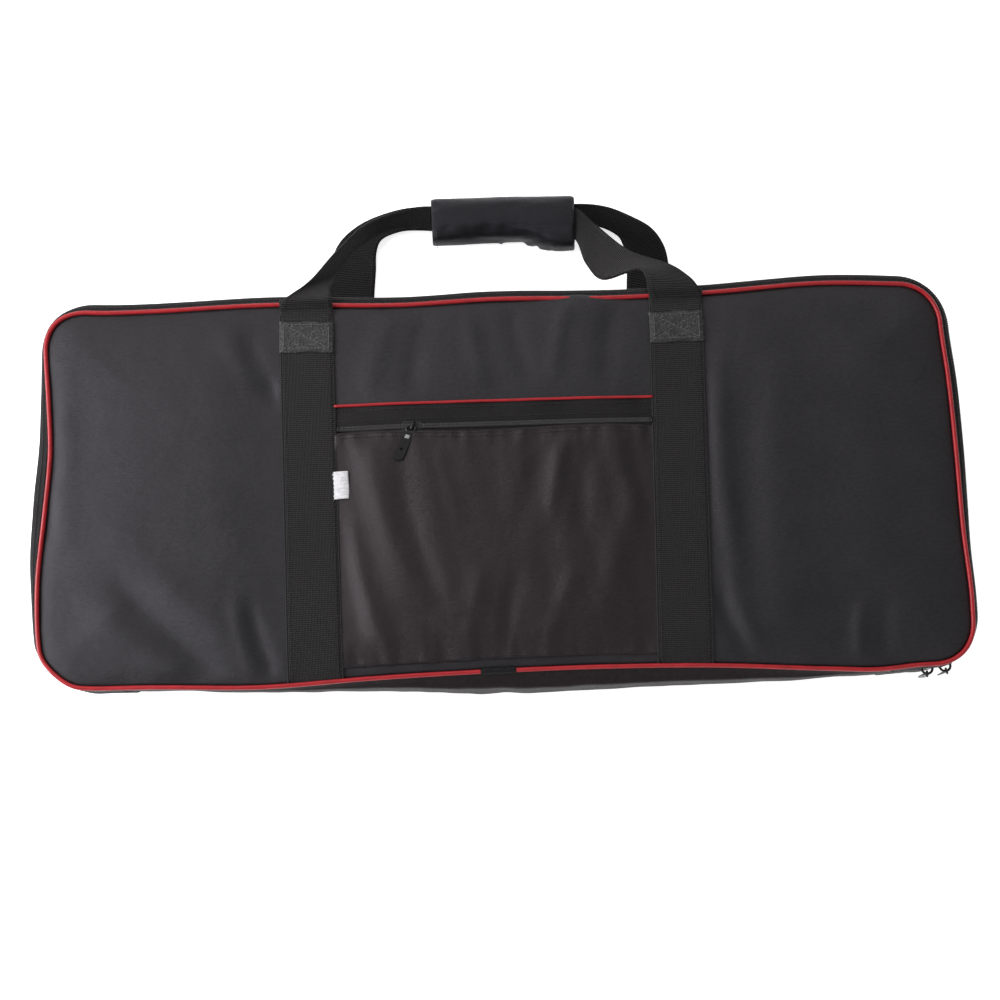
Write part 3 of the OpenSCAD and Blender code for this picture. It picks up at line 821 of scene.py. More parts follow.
def front_strap(name, ends, node):
    """Webbing sewn flat on the front, from the bottom seam to the handle root."""
    y = np.linspace(-PIPE_Y + 0.5 * MM, FRONT_ROOT_Y, 150)[:, None]
    across = np.linspace(-0.5, 0.5, 22)[None, :] * STRAP_W
    x = strap_middle(ends, y) + across
    flat = 1 - smooth(0.40, 0.5, np.abs(across) / STRAP_W) * 0.7
    lift = (1.2 + 0.9 * flat) * MM + 0 * x
    climb = smooth(PIPE_Y - 14 * MM, PIPE_Y - 2 * MM, y)
    xyz = on_cloth(x, y, lift)
    low = TOP_Z + 2.2 * MM
    xyz[..., 2] = xyz[..., 2] * (1 - climb) + low * climb
    foot = 1 - smooth(-PIPE_Y, -PIPE_Y + 8 * MM, y)
    xyz[..., 2] -= 1.6 * MM * foot
    obj = grid_object(name, xyz, grid_of(across, y), WEB)
    thicken(obj, 1.9 * MM)
    ride(obj, "lid", "webbing", node)
    rows = []
    for edge in STRAP_SEAMS:
        line_y = np.linspace(-PIPE_Y + 3 * MM, PIPE_Y - 3 * MM, 120)
        line = on_cloth(strap_middle(ends, line_y) + edge, line_y, 2.1 * MM)
        rows.append(stitch_parts(line, (0, 0, 1)))
    sew(name + "_stitching", rows, "lid", "webbing")
    for side in (-1, 1):
        line_y = np.linspace(-PIPE_Y + 1 * MM, PIPE_Y, 160)
        line = on_cloth(strap_middle(ends, line_y) + side * 24.6 * MM, line_y, 1.0 * MM)
        rim = parts_object(f"{name}_selvedge_{side + 1}", [tube_parts(line, 0.9 * MM, sides=6)], WEB)
        ride(rim, "lid", "webbing")


def patch_lines(w, h):
    """The stitched box and cross of a patch, as lines of (x, y)."""
    corners = [(-w, -h), (w, -h), (w, h), (-w, h), (-w, -h)]
    lines = [np.linspace(a, b, 14) for a, b in zip(corners[:-1], corners[1:])]
    lines.append(np.linspace(corners[0], corners[2], 18))
    lines.append(np.linspace(corners[1], corners[3], 18))
    return lines


def front_patch(name, node):
    """Leatherette patch with a stitched box and cross over the strap."""
    lo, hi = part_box(node)
    middle = np.array([(lo.x + hi.x) / 2, (lo.y + hi.y) / 2])
    w, h = (hi.x - lo.x) / 2 + 0.6 * MM, (hi.y - lo.y) / 2
    gx = np.linspace(-1, 1, 40)[None, :]
    gy = np.linspace(-1, 1, 28)[:, None]
    edge = np.maximum(np.abs(gx), np.abs(gy) + 0 * gx)
    puff = 1 - smooth(0.86, 1.0, edge) * 0.85
    wave_x = 0.5 * MM * np.sin(gx * 5 + 1) * (np.abs(gy) ** 4)
    xyz = on_cloth(middle[0] + gx * w + 0 * gy, middle[1] + gy * h + wave_x, 2.4 * MM + 1.3 * MM * puff)
    obj = grid_object(name, xyz, grid_of(gx * w, gy * h), PATCH)
    thicken(obj, 1.1 * MM)
    ride(obj, "lid", "leatherette", node)
    rows = []
    for line in patch_lines(w - 4.5 * MM, h - 4 * MM):
        p = on_cloth(middle[0] + line[:, 0], middle[1] + line[:, 1], 3.75 * MM)
        rows.append(stitch_parts(p, (0, 0, 1), 2.8 * MM, 0.8 * MM, 0.36 * MM))
    sew(name + "_stitching", rows, "lid", "leatherette", GREY_THREAD)


for side, ends in (("left", LEFT_STRAP), ("right", RIGHT_STRAP)):
    front_strap("strap_" + side + "_webbing", ends, "strap_" + side)
    front_patch("patch_" + side + "_leather", "patch_" + side)


POCKET_ZIP_Y = 56 * MM
POCKET_TOP = 52.2 * MM
POCKET_LOW = -168 * MM
BAND_TOP = 77.5 * MM


def pocket_left(y):
    """X of the pocket's left edge, just under the strap."""
    return strap_middle(LEFT_STRAP, y) + STRAP_W / 2 - 1.5 * MM


def pocket_right(y):
    """X of the pocket's right edge."""
    return strap_middle(RIGHT_STRAP, y) - STRAP_W / 2 + 1.5 * MM


def across_pocket(y, inset, count):
    """Places along X from edge to edge of the pocket at height y."""
    return np.linspace(float(pocket_left(y)) + inset, float(pocket_right(y)) - inset, count)


# Long folds of the pocket's cloth, as for the front cloth.
POCKET_FOLDS = [
    ((-122, 36), (-84, -92), 12, 2.0),
    ((-96, 20), (-60, -110), 10, -1.3),
    ((-140, -40), (-112, -150), 9, 1.2),
    ((-56, 40), (-40, -30), 8, 1.1),
    ((62, 44), (44, -30), 8, 1.9),
    ((40, 30), (14, -50), 10, -1.0),
    ((84, 34), (70, -50), 9, -1.2),
    ((104, 44), (124, -30), 10, 1.8),
    ((120, -20), (86, -140), 13, 1.8),
    ((60, -90), (40, -160), 9, 1.3),
    ((-20, -80), (-34, -160), 10, 1.2),
    ((10, -90), (0, -160), 8, -1.2),
]


def pocket_lift(x, y):
    """How far the pocket's cloth stands off the front cloth."""
    side = np.minimum(x - pocket_left(y), pocket_right(y) - x)
    below_zip = POCKET_TOP - y
    base = 1.2 * MM + 1.6 * MM * smooth(0, 30 * MM, side) * smooth(0, 30 * MM, y - POCKET_LOW)
    puckers = field(listed(x, y * 0.16), 0.0085, 6).reshape(x.shape)
    wide = field(listed(x + y * 0.22, y * 0.22), 0.022, 9).reshape(x.shape)
    fade = np.exp(-below_zip / (11 * MM)) * smooth(0, 3 * MM, below_zip)
    foot = np.exp(-(y - POCKET_LOW) / (13 * MM))
    lift = base + 2.6 * MM * puckers * fade + 1.4 * MM * puckers * foot
    calm = smooth(0, 20 * MM, side) * smooth(0, 18 * MM, below_zip)
    lift += 1.3 * MM * wide * calm
    for fold in POCKET_FOLDS:
        lift += ridge(x, y, *fold) * calm
    return np.maximum(lift, 0.6 * MM)


def pocket():
    """Cloth of the patch pocket, with its rolled top edge and its stitching."""
    y = np.linspace(POCKET_LOW, POCKET_TOP, 118)[:, None]
    t = np.linspace(0, 1, 150)[None, :]
    x = pocket_left(y) + (pocket_right(y) - pocket_left(y)) * t
    y = y + 0 * x
    sag = 1.2 * MM * np.sin(t * 9 + 0.6) * smooth(40 * MM, 52 * MM, y)
    xyz = on_cloth(x, y + sag, pocket_lift(x, y))
    roll = smooth(POCKET_TOP - 2.5 * MM, POCKET_TOP, y)
    xyz[..., 2] -= 1.1 * MM * roll
    cloth = grid_object("pocket_cloth", xyz, grid_of(x, y), POCKET)
    thicken(cloth, 0.9 * MM)
    ride(cloth, "lid", "pocket_fabric", "pocket_panel")
    rows = []
    for drop in (2.6 * MM, 6.4 * MM):
        lx = across_pocket(POCKET_TOP, 4 * MM, 160)
        ly = np.full_like(lx, POCKET_TOP - drop)
        wave_y = 1.2 * MM * np.sin((lx - lx[0]) / (lx[-1] - lx[0]) * 9 + 0.6)
        line = on_cloth(lx, ly + wave_y, pocket_lift(lx, ly) + 0.1 * MM)
        rows.append(stitch_parts(line, (0, 0, 1), 2.6 * MM))
    lx = across_pocket(POCKET_LOW, 4 * MM, 160)
    ly = np.full_like(lx, POCKET_LOW + 3 * MM)
    rows.append(stitch_parts(on_cloth(lx, ly, pocket_lift(lx, ly) + 0.1 * MM), (0, 0, 1), 2.8 * MM))
    sew("pocket_stitching", rows, "lid", "pocket_fabric")


def pocket_band():
    """Zip tape between the red piping and the pocket's edge."""
    y = np.concatenate([np.linspace(45.5 * MM, POCKET_ZIP_Y - 0.6 * MM, 8),
                        np.linspace(POCKET_ZIP_Y + 0.6 * MM, BAND_TOP, 12)])[:, None]
    t = np.linspace(0, 1, 120)[None, :]
    x = pocket_left(y) + (pocket_right(y) - pocket_left(y)) * t
    y = y + 0 * x
    dip = 0.5 * MM * bump(y, POCKET_ZIP_Y, 3 * MM)
    xyz = on_cloth(x, y, 0.7 * MM - dip + 0.35 * MM * np.sin(x / (11 * MM)) * smooth(60 * MM, 77 * MM, y))
    tape = grid_object("pocket_tape", xyz, grid_of(x, y), TAPE)
    thicken(tape, 0.6 * MM)
    ride(tape, "lid", "zip_tape", "pocket_zip_tape")
    rows = []
    for ly in (63.5 * MM, 73.5 * MM):
        line = on_cloth(across_pocket(ly, 3 * MM, 160), ly, 0.85 * MM)
        rows.append(stitch_parts(line, (0, 0, 1), 2.6 * MM))
    sew("pocket_tape_stitching", rows, "lid", "zip_tape")
    cord = on_cloth(across_pocket(BAND_TOP, 0.5 * MM, 120), BAND_TOP + 1 * MM, 1.1 * MM)
    obj = parts_object("pocket_red_piping", [tube_parts(cord, 1.35 * MM, sides=10)], PIPING)
    ride(obj, "lid", "piping", "pocket_piping")


def coil_path(centre, out, up, pitch, half_out, half_up, lean):
    """Helix of a nylon zip coil about a centre line."""
    length = running_length(centre)
    turns = int(length[-1] / pitch)
    steps = turns * 8
    at = np.linspace(0, turns * pitch, steps + 1)
    pick = lambda a: np.stack([np.interp(at, length, a[:, i]) for i in range(3)], -1)
    along = np.gradient(centre, axis=0)
    along /= np.linalg.norm(along, axis=1, keepdims=True)
    angle = np.arange(steps + 1) * math.pi / 4
    return (
        pick(centre)
        + pick(out) * (np.cos(angle) * half_out)[:, None]
        + pick(up) * (np.sin(angle) * half_up)[:, None]
        + pick(along) * (np.cos(angle) * lean)[:, None]
    )


def pocket_coil():
    """Two rows of coil teeth of the pocket zip, with metal stops at the ends."""
    lx = np.linspace(-150 * MM, 140 * MM, 200)
    out = np.tile([0.0, 1.0, 0.0], (len(lx), 1))
    up = np.tile([0.0, 0.0, 1.0], (len(lx), 1))
    parts = []
    for side in (-1, 1):
        centre = on_cloth(lx, POCKET_ZIP_Y + side * 1.15 * MM, 1.3 * MM)
        path = coil_path(centre, out, up, 1.3 * MM, 1.35 * MM, 0.75 * MM, 0.2 * MM * side)
        parts.append(tube_parts(path, 0.36 * MM, sides=4))
    ride(parts_object("pocket_coil", parts, COIL), "lid", "zip_coil", "pocket_zip_coil")
    stops = []
    for sx in (-150.8 * MM, 140.8 * MM):
        y = POCKET_ZIP_Y + np.array([-2.6, -2.2, 0, 2.2, 2.6]) * MM
        p = on_cloth(np.full(5, sx), y, np.array([0.9, 1.9, 2.1, 1.9, 0.9]) * MM)
        stops.append(tube_parts(p, 0.75 * MM, sides=6))
    ride(parts_object("pocket_end_stops", stops, METAL), "lid", "stop_metal", "pocket_zip_stops")


def pocket_tag():
    """Blank white label sewn into the pocket's left edge."""
    u = np.linspace(0, 1, 16)[None, :]
    v = np.linspace(0, 1, 24)[:, None]
    x = -155.5 * MM + 14.5 * MM * u + 0.4 * MM * np.sin(v * 5)
    y = -11 * MM + 26 * MM * v + 0.5 * MM * u
    lift = pocket_lift(x, y + 0 * x) + 0.8 * MM + 1.3 * MM * np.sin(u * math.pi) + 0.9 * MM * u * (v - 0.4)
    tag = grid_object("blank_label", on_cloth(x, y, lift), grid_of(x, y), LABEL)
    thicken(tag, 0.45 * MM)
    ride(tag, "lid", "label_cloth", "pocket_label")


pocket()
pocket_band()
pocket_coil()
pocket_tag()


# ---------------------------------------------------------------- main zip and walls


def on_shell(line):
    """A line of points standing in and swaying with the shell."""
    return sway(tuck_in(line, foot=True))


def wide_left(s):
    """Extra outward reach of the lid's zip band, which shows wider on the left side."""
    return 3.0 * MM * bump(s, RING_L - PIPE_X - PIPE_Y, 0.07)


def zip_range(count, reach=0.0):
    """Lengths round the ring that the zip covers."""
    return np.linspace(ZIP_GAP - reach, RING_L - ZIP_GAP + reach, count)


def lid_tape():
    """Zip tape that slopes from the piping down to the lid's half of the coil."""
    s = zip_range(760, 4 * MM)
    more = wide_left(s) + 0.7 * MM * sag_noise(s, 0.05, 12)

    def profile(s):
        u = np.array([0.8, 2.6, 5.2, 7.8, 9.6, 10.2, 9.9, 9.4]) * MM
        z = np.array([96.3, 96.0, 95.0, 93.8, 92.6, 91.6, 90.6, 89.6]) * MM
        share = np.array([0, 0.15, 0.5, 0.8, 1, 1, 0.7, 0.5])
        return u[None] + more[:, None] * share, z[None] + 0 * s[:, None]

    tape = loft("lid_tape", s, profile, TAPE, tuck=[0, 0.1, 0.4, 0.75, 1, 1, 1, 1])
    thicken(tape, 0.9 * MM)
    ride(tape, "lid", "zip_tape", "lid_zip_tape")
    rows = []
    for u, z, share in ((3.2, 96.2, 0.25), (6.4, 94.9, 0.65)):
        line, _ = off_ring(s, u * MM + more * share, z * MM)
        rows.append(stitch_parts(sway(tuck_in(line, share)), (0, 0, 1), 3.0 * MM))
    sew("lid_tape_stitching", rows, "lid", "zip_tape")


def coil(name, z, body, node):
    """One half of the main zip's coil."""
    s = zip_range(900)
    centre, out = off_ring(s, 9.6 * MM + wide_left(s) * 0.5, z)
    up = np.tile([0.0, 0.0, 1.0], (len(s), 1))
    path = coil_path(sway(tuck_in(centre)), out, up, 2.1 * MM, 1.0 * MM, 1.15 * MM, 0.3 * MM)
    ride(parts_object(name, [tube_parts(path, 0.45 * MM, sides=4)], COIL), body, "zip_coil", node)


def base_tape():
    """Zip tape above the side wall, on the base."""
    s = zip_range(760, 4 * MM)
    more = wide_left(s) * 0.5

    def profile(s):
        u = np.array([9.2, 9.8, 9.9, 9.7, 9.4]) * MM
        z = np.array([73.0, 75.0, 79.0, 83.0, 86.2]) * MM
        return u[None] + more[:, None] * np.array([0.4, 0.6, 0.8, 1, 1]), z[None] + 0 * s[:, None]

    tape = loft("base_tape", s, profile, TAPE, tuck=1.0, flip=True)
    thicken(tape, 0.9 * MM)
    ride(tape, "base", "zip_tape", "base_zip_tape")
    line, normals = off_ring(s, 10.0 * MM + more * 0.7, 77 * MM)
    sew("base_tape_stitching", [stitch_parts(on_shell(line), normals)], "base", "zip_tape")


def side_wall():
    """Cloth of the side wall, softly bulged, from the back cord to the zip tape."""
    s = zip_range(620, 3 * MM)
    k = 26
    t = np.linspace(0, 1, k)
    p, n = ring_at(s)
    grid = listed(p[:, :1], p[:, 1:2], t * 0.066)
    wrinkle = field(grid * np.array([1, 1, 0.5]), 0.03, 14).reshape(len(s), k)
    fine = field(grid, 0.012, 15).reshape(len(s), k)
    corner = 1 - 2 * np.abs(n[:, 0] * n[:, 1])

    def profile(s):
        swell = np.sin(t * math.pi) ** 0.8
        u = 9.4 * MM + swell[None] * (3.0 * MM * (0.35 + 0.65 * corner[:, None]))
        u = u + (1.1 * MM * wrinkle + 0.35 * MM * fine) * swell[None]
        z = CORD_TOP - 0.6 * MM + t[None] * (TAPE_Z - CORD_TOP + 1.4 * MM) + 0 * s[:, None]
        return u, z

    wall = loft("side_wall_cloth", s, profile, WALL, tuck=1.0, flip=True)
    thicken(wall, 1.4 * MM)
    ride(wall, "base", "wall_fabric", "side_gusset")
    line, normals = off_ring(s, 9.9 * MM, TAPE_Z - 1.5 * MM)
    sew("side_wall_stitching", [stitch_parts(on_shell(line), normals)], "base", "wall_fabric")


# Reach of the bottom wall beyond the piping line, as (place along X, mm).
BOTTOM_REACH = [(-352, 0.8), (-300, 1.0), (-240, 1.5), (-170, 5), (-100, 9.5), (-40, 14), (20, 16), (85, 15),
                (150, 13.5), (204, 11.5), (270, 7), (310, 3.5), (352, 0.8)]


def bottom_wall():
    """Cloth of the bottom wall and its fold up to the piping, which is the lid's soft hinge."""
    x = np.linspace(-ZIP_GAP - 4 * MM, ZIP_GAP + 4 * MM, 300)[:, None]
    rows = 44
    t = np.linspace(0, 1, rows)[None, :]
    reach = curve_through(BOTTOM_REACH, x / MM) * MM
    low = CORD_TOP - 0.6 * MM
    z = low + (90 * MM - low) * np.clip(t / 0.84, 0, 1) + 6.4 * MM * smooth(0.84, 1.0, t)
    swell = smooth(0, 0.5, t)
    u = 0.6 * MM * (1 - swell) + reach * swell
    hem = smooth(0.8, 1.0, t)
    u = u * (1 - hem) + 0.9 * MM * hem
    grid = listed(x, t * 0.035)
    folds = field(grid * np.array([1, 1.4, 1]), 0.022, 21).reshape(len(x), rows)
    broad = field(grid, 0.05, 22).reshape(len(x), rows)
    puckered = 0.8 + 1.6 * bump(x, -0.03, 0.05)
    calm = np.sin(np.clip(t, 0, 1) * math.pi) ** 0.7
    u = u + (0.9 * MM * folds * puckered + 0.9 * MM * broad) * calm
    points = tuck_in(listed(x, -PIPE_Y - u, z), 0.0, foot=True)
    wall = grid_object("bottom_wall_cloth", swayed(points, u.shape), grid_of(x, z), WALL, flip=True)
    thicken(wall, 1.2 * MM)
    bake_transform(wall)
    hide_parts("bottom_gusset", "hinge_fold")


def zip_stops():
    """Metal clamps at the ends of the main zip."""
    for k, sx in enumerate((-1, 1)):
        x = sx * (ZIP_GAP - 1.5 * MM)
        z = np.array([84.8, 85.4, 86.4, 87.6, 88.0]) * MM
        y = -PIPE_Y - np.array([8.2, 8.9, 9.2, 8.9, 8.2]) * MM
        path = sway(tuck_in(grid_of(x, y, z)))
        stop = parts_object(f"zip_clamp_{k}", [tube_parts(path, 1.0 * MM, sides=6)], METAL)
        ride(stop, "base", "stop_metal", "zip_end_stops")


def seam_cord():
    """Black cord along the back seam."""
    s = np.linspace(0, RING_L, 700)[:-1]
    path, _ = off_ring(s, 10 * MM, CORD_TOP - 1.8 * MM)
    rope = tube_parts(on_shell(path), 1.85 * MM, sides=8, closed=True)
    cord = parts_object("back_black_cord", [rope], SEAM_CORD)
    ride(cord, "base", "binding", "back_seam_cord")


lid_tape()
coil("lid_coil", 89.7 * MM, "lid", "lid_zip_coil")
coil("base_coil", 86.3 * MM, "base", "base_zip_coil")
base_tape()
side_wall()
bottom_wall()
zip_stops()
seam_cord()


# ---------------------------------------------------------------- back, lining and foam


def slab_piece(name, u, low, high, material, uneven=0.0, seed=1, tuck=False):
    """Flat soft sheet with thickness over the whole outline."""
    x, y = rounded_grid(u, 9 * MM)
    calm = smooth(0, 20 * MM, edge_distance(x, y, u))
    points = listed(x, y, high + uneven * field(listed(x, y), 0.06, seed).reshape(x.shape) * calm)
    if tuck:
        points = tuck_in(points, 1.0, foot=True)
    obj = grid_object(name, swayed(points, x.shape), grid_of(x, y), material)
    return thicken(obj, high - low)


def ring_wall(name, s, points, material, thickness=0.9 * MM, flip=False):
    """Thin wall swept along the ring through (u, z) points in mm."""
    points = np.array(points, float) * MM

    def profile(s):
        return points[:, 0][None] + 0 * s[:, None], points[:, 1][None] + 0 * s[:, None]

    return thicken(loft(name, s, profile, material, closed=True, tuck=1.0, flip=flip), thickness)


def back_strap(side, middle):
    """Webbing sewn flat on the back, up to the back handle's root."""
    y = np.linspace(-PIPE_Y + 6 * MM, BACK_ROOT_Y, 150)[:, None]
    across = np.linspace(-0.5, 0.5, 14)[None, :] * STRAP_W
    xyz = grid_of(middle + across, y, 1.2 * MM)
    xyz[..., 2] += 0.9 * MM * smooth(PIPE_Y + 2 * MM, BACK_ROOT_Y, xyz[..., 1])
    strap = grid_object(f"back_strap_{side}_webbing", xyz, grid_of(across, y), WEB, flip=True)
    ride(thicken(strap, 1.9 * MM), "base", "webbing", f"back_strap_{side}")


def back_patch(side):
    """Leatherette patch over a back strap, facing the floor. Returns its middle and half its size."""
    lo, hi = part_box(f"back_patch_{side}")
    centre = np.array([(lo.x + hi.x) / 2, (lo.y + hi.y) / 2])
    half = np.array([(hi.x - lo.x) / 2, (hi.y - lo.y) / 2])
    gx, gy = np.meshgrid(np.linspace(-1, 1, 24), np.linspace(-1, 1, 24))
    puff = smooth(0.86, 1.0, np.maximum(np.abs(gx), np.abs(gy)))
    xyz = grid_of(centre[0] + gx * half[0], centre[1] + gy * half[1], 0.2 * MM + 0.6 * MM * puff)
    uvs = grid_of(gx * half[0], gy * half[1])
    piece = grid_object(f"back_patch_{side}_leather", xyz, uvs, PATCH, flip=True)
    ride(thicken(piece, 0.8 * MM), "base", "leatherette", f"back_patch_{side}")
    return centre, half


def back_stitching(side, middle, centre, half):
    """Stitching along a back strap's edges and round its patch."""
    rows = []
    for edge in STRAP_SEAMS:
        line = grid_of(middle + edge, np.linspace(-PIPE_Y + 9 * MM, PIPE_Y - 3 * MM, 80), 1.15 * MM)
        rows.append(stitch_parts(line, (0, 0, -1)))
    sew(f"back_strap_{side}_stitching", rows, "base", "webbing")
    rows = []
    for line in patch_lines(half[0] - 4.5 * MM, half[1] - 4 * MM):
        p = grid_of(centre[0] + line[:, 0], centre[1] + line[:, 1], 0.15 * MM)
        rows.append(stitch_parts(p, (0, 0, -1), 2.8 * MM, 0.8 * MM, 0.36 * MM, 0.1 * MM))
    sew(f"back_patch_{side}_stitching", rows, "base", "leatherette", GREY_THREAD)


def back_side():
    """Back cloth, its straps and their patches, all facing the floor."""
    x, y = rounded_grid(9.2 * MM, 4.5 * MM)
    e = edge_distance(x, y, 9.2 * MM)
    z = 1.0 * MM + 3.4 * MM * (1 - smooth(0, 14 * MM, e))
    for _, middle in BACK_STRAPS:
        z = np.maximum(z, 3.6 * MM * (1 - smooth(25.5 * MM, 34 * MM, np.abs(x - middle))))
    z = z + 0.5 * MM * np.abs(field(listed(x, y), 0.05, 31)).reshape(x.shape) * smooth(0, 20 * MM, e)
    points = tuck_in(listed(x, y, z), 1.0, foot=True)
    cloth = grid_object("back_cloth", swayed(points, x.shape), grid_of(x, y), SHELL, flip=True)
    thicken(cloth, 1.2 * MM)
    ride(cloth, "base", "shell_fabric", "back_panel")
    for side, middle in BACK_STRAPS:
        back_strap(side, middle)
        back_stitching(side, middle, *back_patch(side))


def inside():
    """Lining of the tray and the lid, and the foam behind it."""
    ring = np.linspace(0, RING_L, 420)[:-1]
    floor_z = FLOOR_LINING_Z + 0.2 * MM
    floor = slab_piece("lining_floor", 2.6 * MM, floor_z, 13 * MM, LINING, 0.8 * MM, 41, tuck=True)
    ride(floor, "base", "lining", "case_lining")
    section = [(2.2, 12.6), (2.0, 20), (2.3, 40), (2.1, 60), (2.4, 72), (3.4, 74.2), (6.0, 74.6), (8.6, 74.4),
               (9.2, 73.4)]
    walls = ring_wall("lining_walls", ring, section, LINING)
    ride(walls, "base", "lining")
    foam = slab_piece("back_foam_sheet", 2.8 * MM, 4.6 * MM, 12 * MM, FOAM, tuck=True)
    ride(foam, "base", "foam", "back_foam")
    strip = [(3.2, 5), (3.2, 73)]
    wall_foam = ring_wall("wall_foam_strip", ring, strip, FOAM, thickness=4.4 * MM, flip=True)
    ride(wall_foam, "base", "foam", "gusset_foam")
    lid_foam = slab_piece("front_foam_sheet", -4.2 * MM, 90.4 * MM, 95.6 * MM, FOAM)
    ride(lid_foam, "lid", "foam", "front_foam")
    lid_lining = slab_piece("lid_lining", -2.4 * MM, 89.2 * MM, 89.9 * MM, LINING, 0.5 * MM, 43)
    ride(lid_lining, "lid", "lining", "front_lining")
    rows = []
    for middle in (-0.19, 0.0, 0.19):
        line = sway(grid_of(middle, np.linspace(-0.172, 0.172, 90), 13.9 * MM))
        rows.append(stitch_parts(line, (0, 0, 1), 3.4 * MM))
    sew("lining_stitching", rows, "base", "lining")


back_side()
inside()


# ---------------------------------------------------------------- handles


def spline(points, count):
    """Even Catmull-Rom curve through points in mm, as metres."""
    p = np.array(points, float) * MM
    p = np.vstack([2 * p[0] - p[1], p, 2 * p[-1] - p[-2]])
    out = []
    spans = len(p) - 3
    for t in np.linspace(0, spans - 1e-9, count):
        i = int(t)
        f = t - i
        a, b, c, d = p[i:i + 4]
        square = 2 * a - 5 * b + 4 * c - d
        cube = 3 * b - a - 3 * c + d
        out.append(0.5 * (2 * b + (c - a) * f + square * f * f + cube * f**3))
    return np.array(out)


def ribbon(name, outer, inner, thickness=2.0 * MM, count=110, cols=16):
    """Webbing whose two edges run through the given points; its stitching follows the edges."""
    a, b = spline(outer, count), spline(inner, count)
    t = np.linspace(0, 1, cols)[None, :, None]
    xyz = a[:, None] * (1 - t) + b[:, None] * t
    width = np.linalg.norm(b - a, axis=1)
    length = running_length((a + b) / 2)
    uvs = np.stack([(t[..., 0] - 0.5) * width[:, None], length[:, None] + 0 * t[..., 0]], -1)
    along = np.gradient((a + b) / 2, axis=0)
    normal = np.cross(b - a, along)
    normal /= np.linalg.norm(normal, axis=1, keepdims=True)
    # The legs get the darker copy of the strap webbing, which is painted shade.
    obj = grid_object(name, xyz, uvs, SHADED_HANDLE_WEB)
    thicken(obj, thickness, 0)
    rows = []
    for share in (0.08, 0.92):
        line = a * (1 - share) + b * share
        for side in (-1, 1):
            rows.append(stitch_parts(line + normal * side * thickness * 0.52, normal * side))
    seams = parts_object(name + "_stitching", rows, THREAD)
    return obj, seams


# Edges of the four handle legs, outer edge first, from the root to inside the grip, in mm.
FRONT_LEFT = (
    [(-205, 176, 102.2), (-201, 184, 102.4), (-190, 194, 99), (-175, 210, 89), (-152, 250, 62),
     (-125, 286, 38), (-82, 306, 25), (-50, 308, 21), (-20, 307, 20)],
    [(-155, 176, 102.2), (-156, 185, 101.6), (-158, 201, 86), (-154, 226, 58), (-141, 256, 36),
     (-112, 281, 22), (-80, 286, 18), (-50, 285, 17), (-20, 285, 18)],
)
FRONT_RIGHT = (
    [(195, 176, 102.2), (192, 184, 102.6), (184, 196, 100), (167, 212, 92), (132, 238, 64), (104, 275, 37),
     (84, 300, 25), (60, 305, 20), (30, 306, 19)],
    [(145, 176, 102.2), (144, 184, 102.8), (142, 202, 97), (134, 210, 87), (104, 208, 68), (90, 232, 46),
     (82, 267, 23), (60, 280, 18), (30, 283, 18)],
)
BACK_LEFT = (
    [(-171, 186, 2.4), (-171, 202, 3), (-171, 222, 3), (-168, 246, 4), (-159, 274, 6), (-142, 292, 8),
     (-118, 304, 10), (-84, 312, 11), (-50, 310, 10), (-20, 308, 9)],
    [(-121, 186, 2.4), (-122, 202, 3), (-122, 222, 3), (-120, 248, 4), (-119, 268, 5), (-113, 281, 6),
     (-95, 288, 7), (-78, 289, 7), (-50, 287, 7), (-20, 286, 7)],
)
BACK_RIGHT = (
    [(175, 186, 2.4), (175, 204, 3), (175, 226, 3), (175, 248, 4), (171, 266, 6), (160, 283, 8),
     (142, 295, 9), (115, 307, 10), (84, 311, 10), (40, 308, 9)],
    [(131, 186, 2.4), (132, 204, 3), (132, 222, 3), (133, 240, 4), (133, 256, 5), (130, 268, 5),
     (124, 278, 6), (106, 287, 7), (82, 288, 8), (40, 286, 7)],
)


def handles():
    """Two webbing handles: the front one falls from the top edge, the back one lies below."""
    for name, edges in (("front_leg_left", FRONT_LEFT), ("front_leg_right", FRONT_RIGHT)):
        for piece in ribbon(name, *edges):
            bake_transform(piece)
            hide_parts("front_handle")
    for name, edges in (("back_leg_left", BACK_LEFT), ("back_leg_right", BACK_RIGHT)):
        for piece in ribbon(name, *edges):
            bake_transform(piece)
            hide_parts("back_handle")
    for body, z, left, right in (("front_handle", 17, -24, 34), ("back_handle", 8, -24, 44)):
        x = np.linspace(left, right, 30)[:, None] * MM
        y = np.linspace(284, 307, 10)[None, :] * MM
        obj = grid_object(f"{body}_in_grip", grid_of(x, y, z * MM), grid_of(y, x), WEB, flip=True)
        ride(thicken(obj, 2.0 * MM), body, "webbing", body)


def grip_outline(count):
    """Middle line of the wrap's section: up the flap, over the roof and down the far wall."""
    y0, y1 = GRIP_LO.y + 2.6 * MM, GRIP_HI.y - 2.6 * MM
    top = GRIP_HI.z - 2.8 * MM
    flap = [(y0, 7 * MM), (y0, 14 * MM), (y0 + 0.5 * MM, 20 * MM)]
    roof = [(y0 + 5 * MM, top - 1.4 * MM), (y0 + 14 * MM, top), ((y0 + y1) / 2, top + 0.6 * MM),
            (y1 - 14 * MM, top), (y1 - 5 * MM, top - 1.4 * MM)]
    far_wall = [(y1 - 0.5 * MM, 20 * MM), (y1, 14 * MM), (y1, 3 * MM)]
    corners = flap + roof + far_wall
    return spline([(0, y / MM, z / MM) for y, z in corners], count)[:, 1:]


def near_edge(share):
    """Shift in mm of the wrap's near side along its length."""
    return curve_through([(0, 6), (0.12, 6), (0.4, 7.5), (0.65, 5), (0.9, -3), (1, -2)], share)


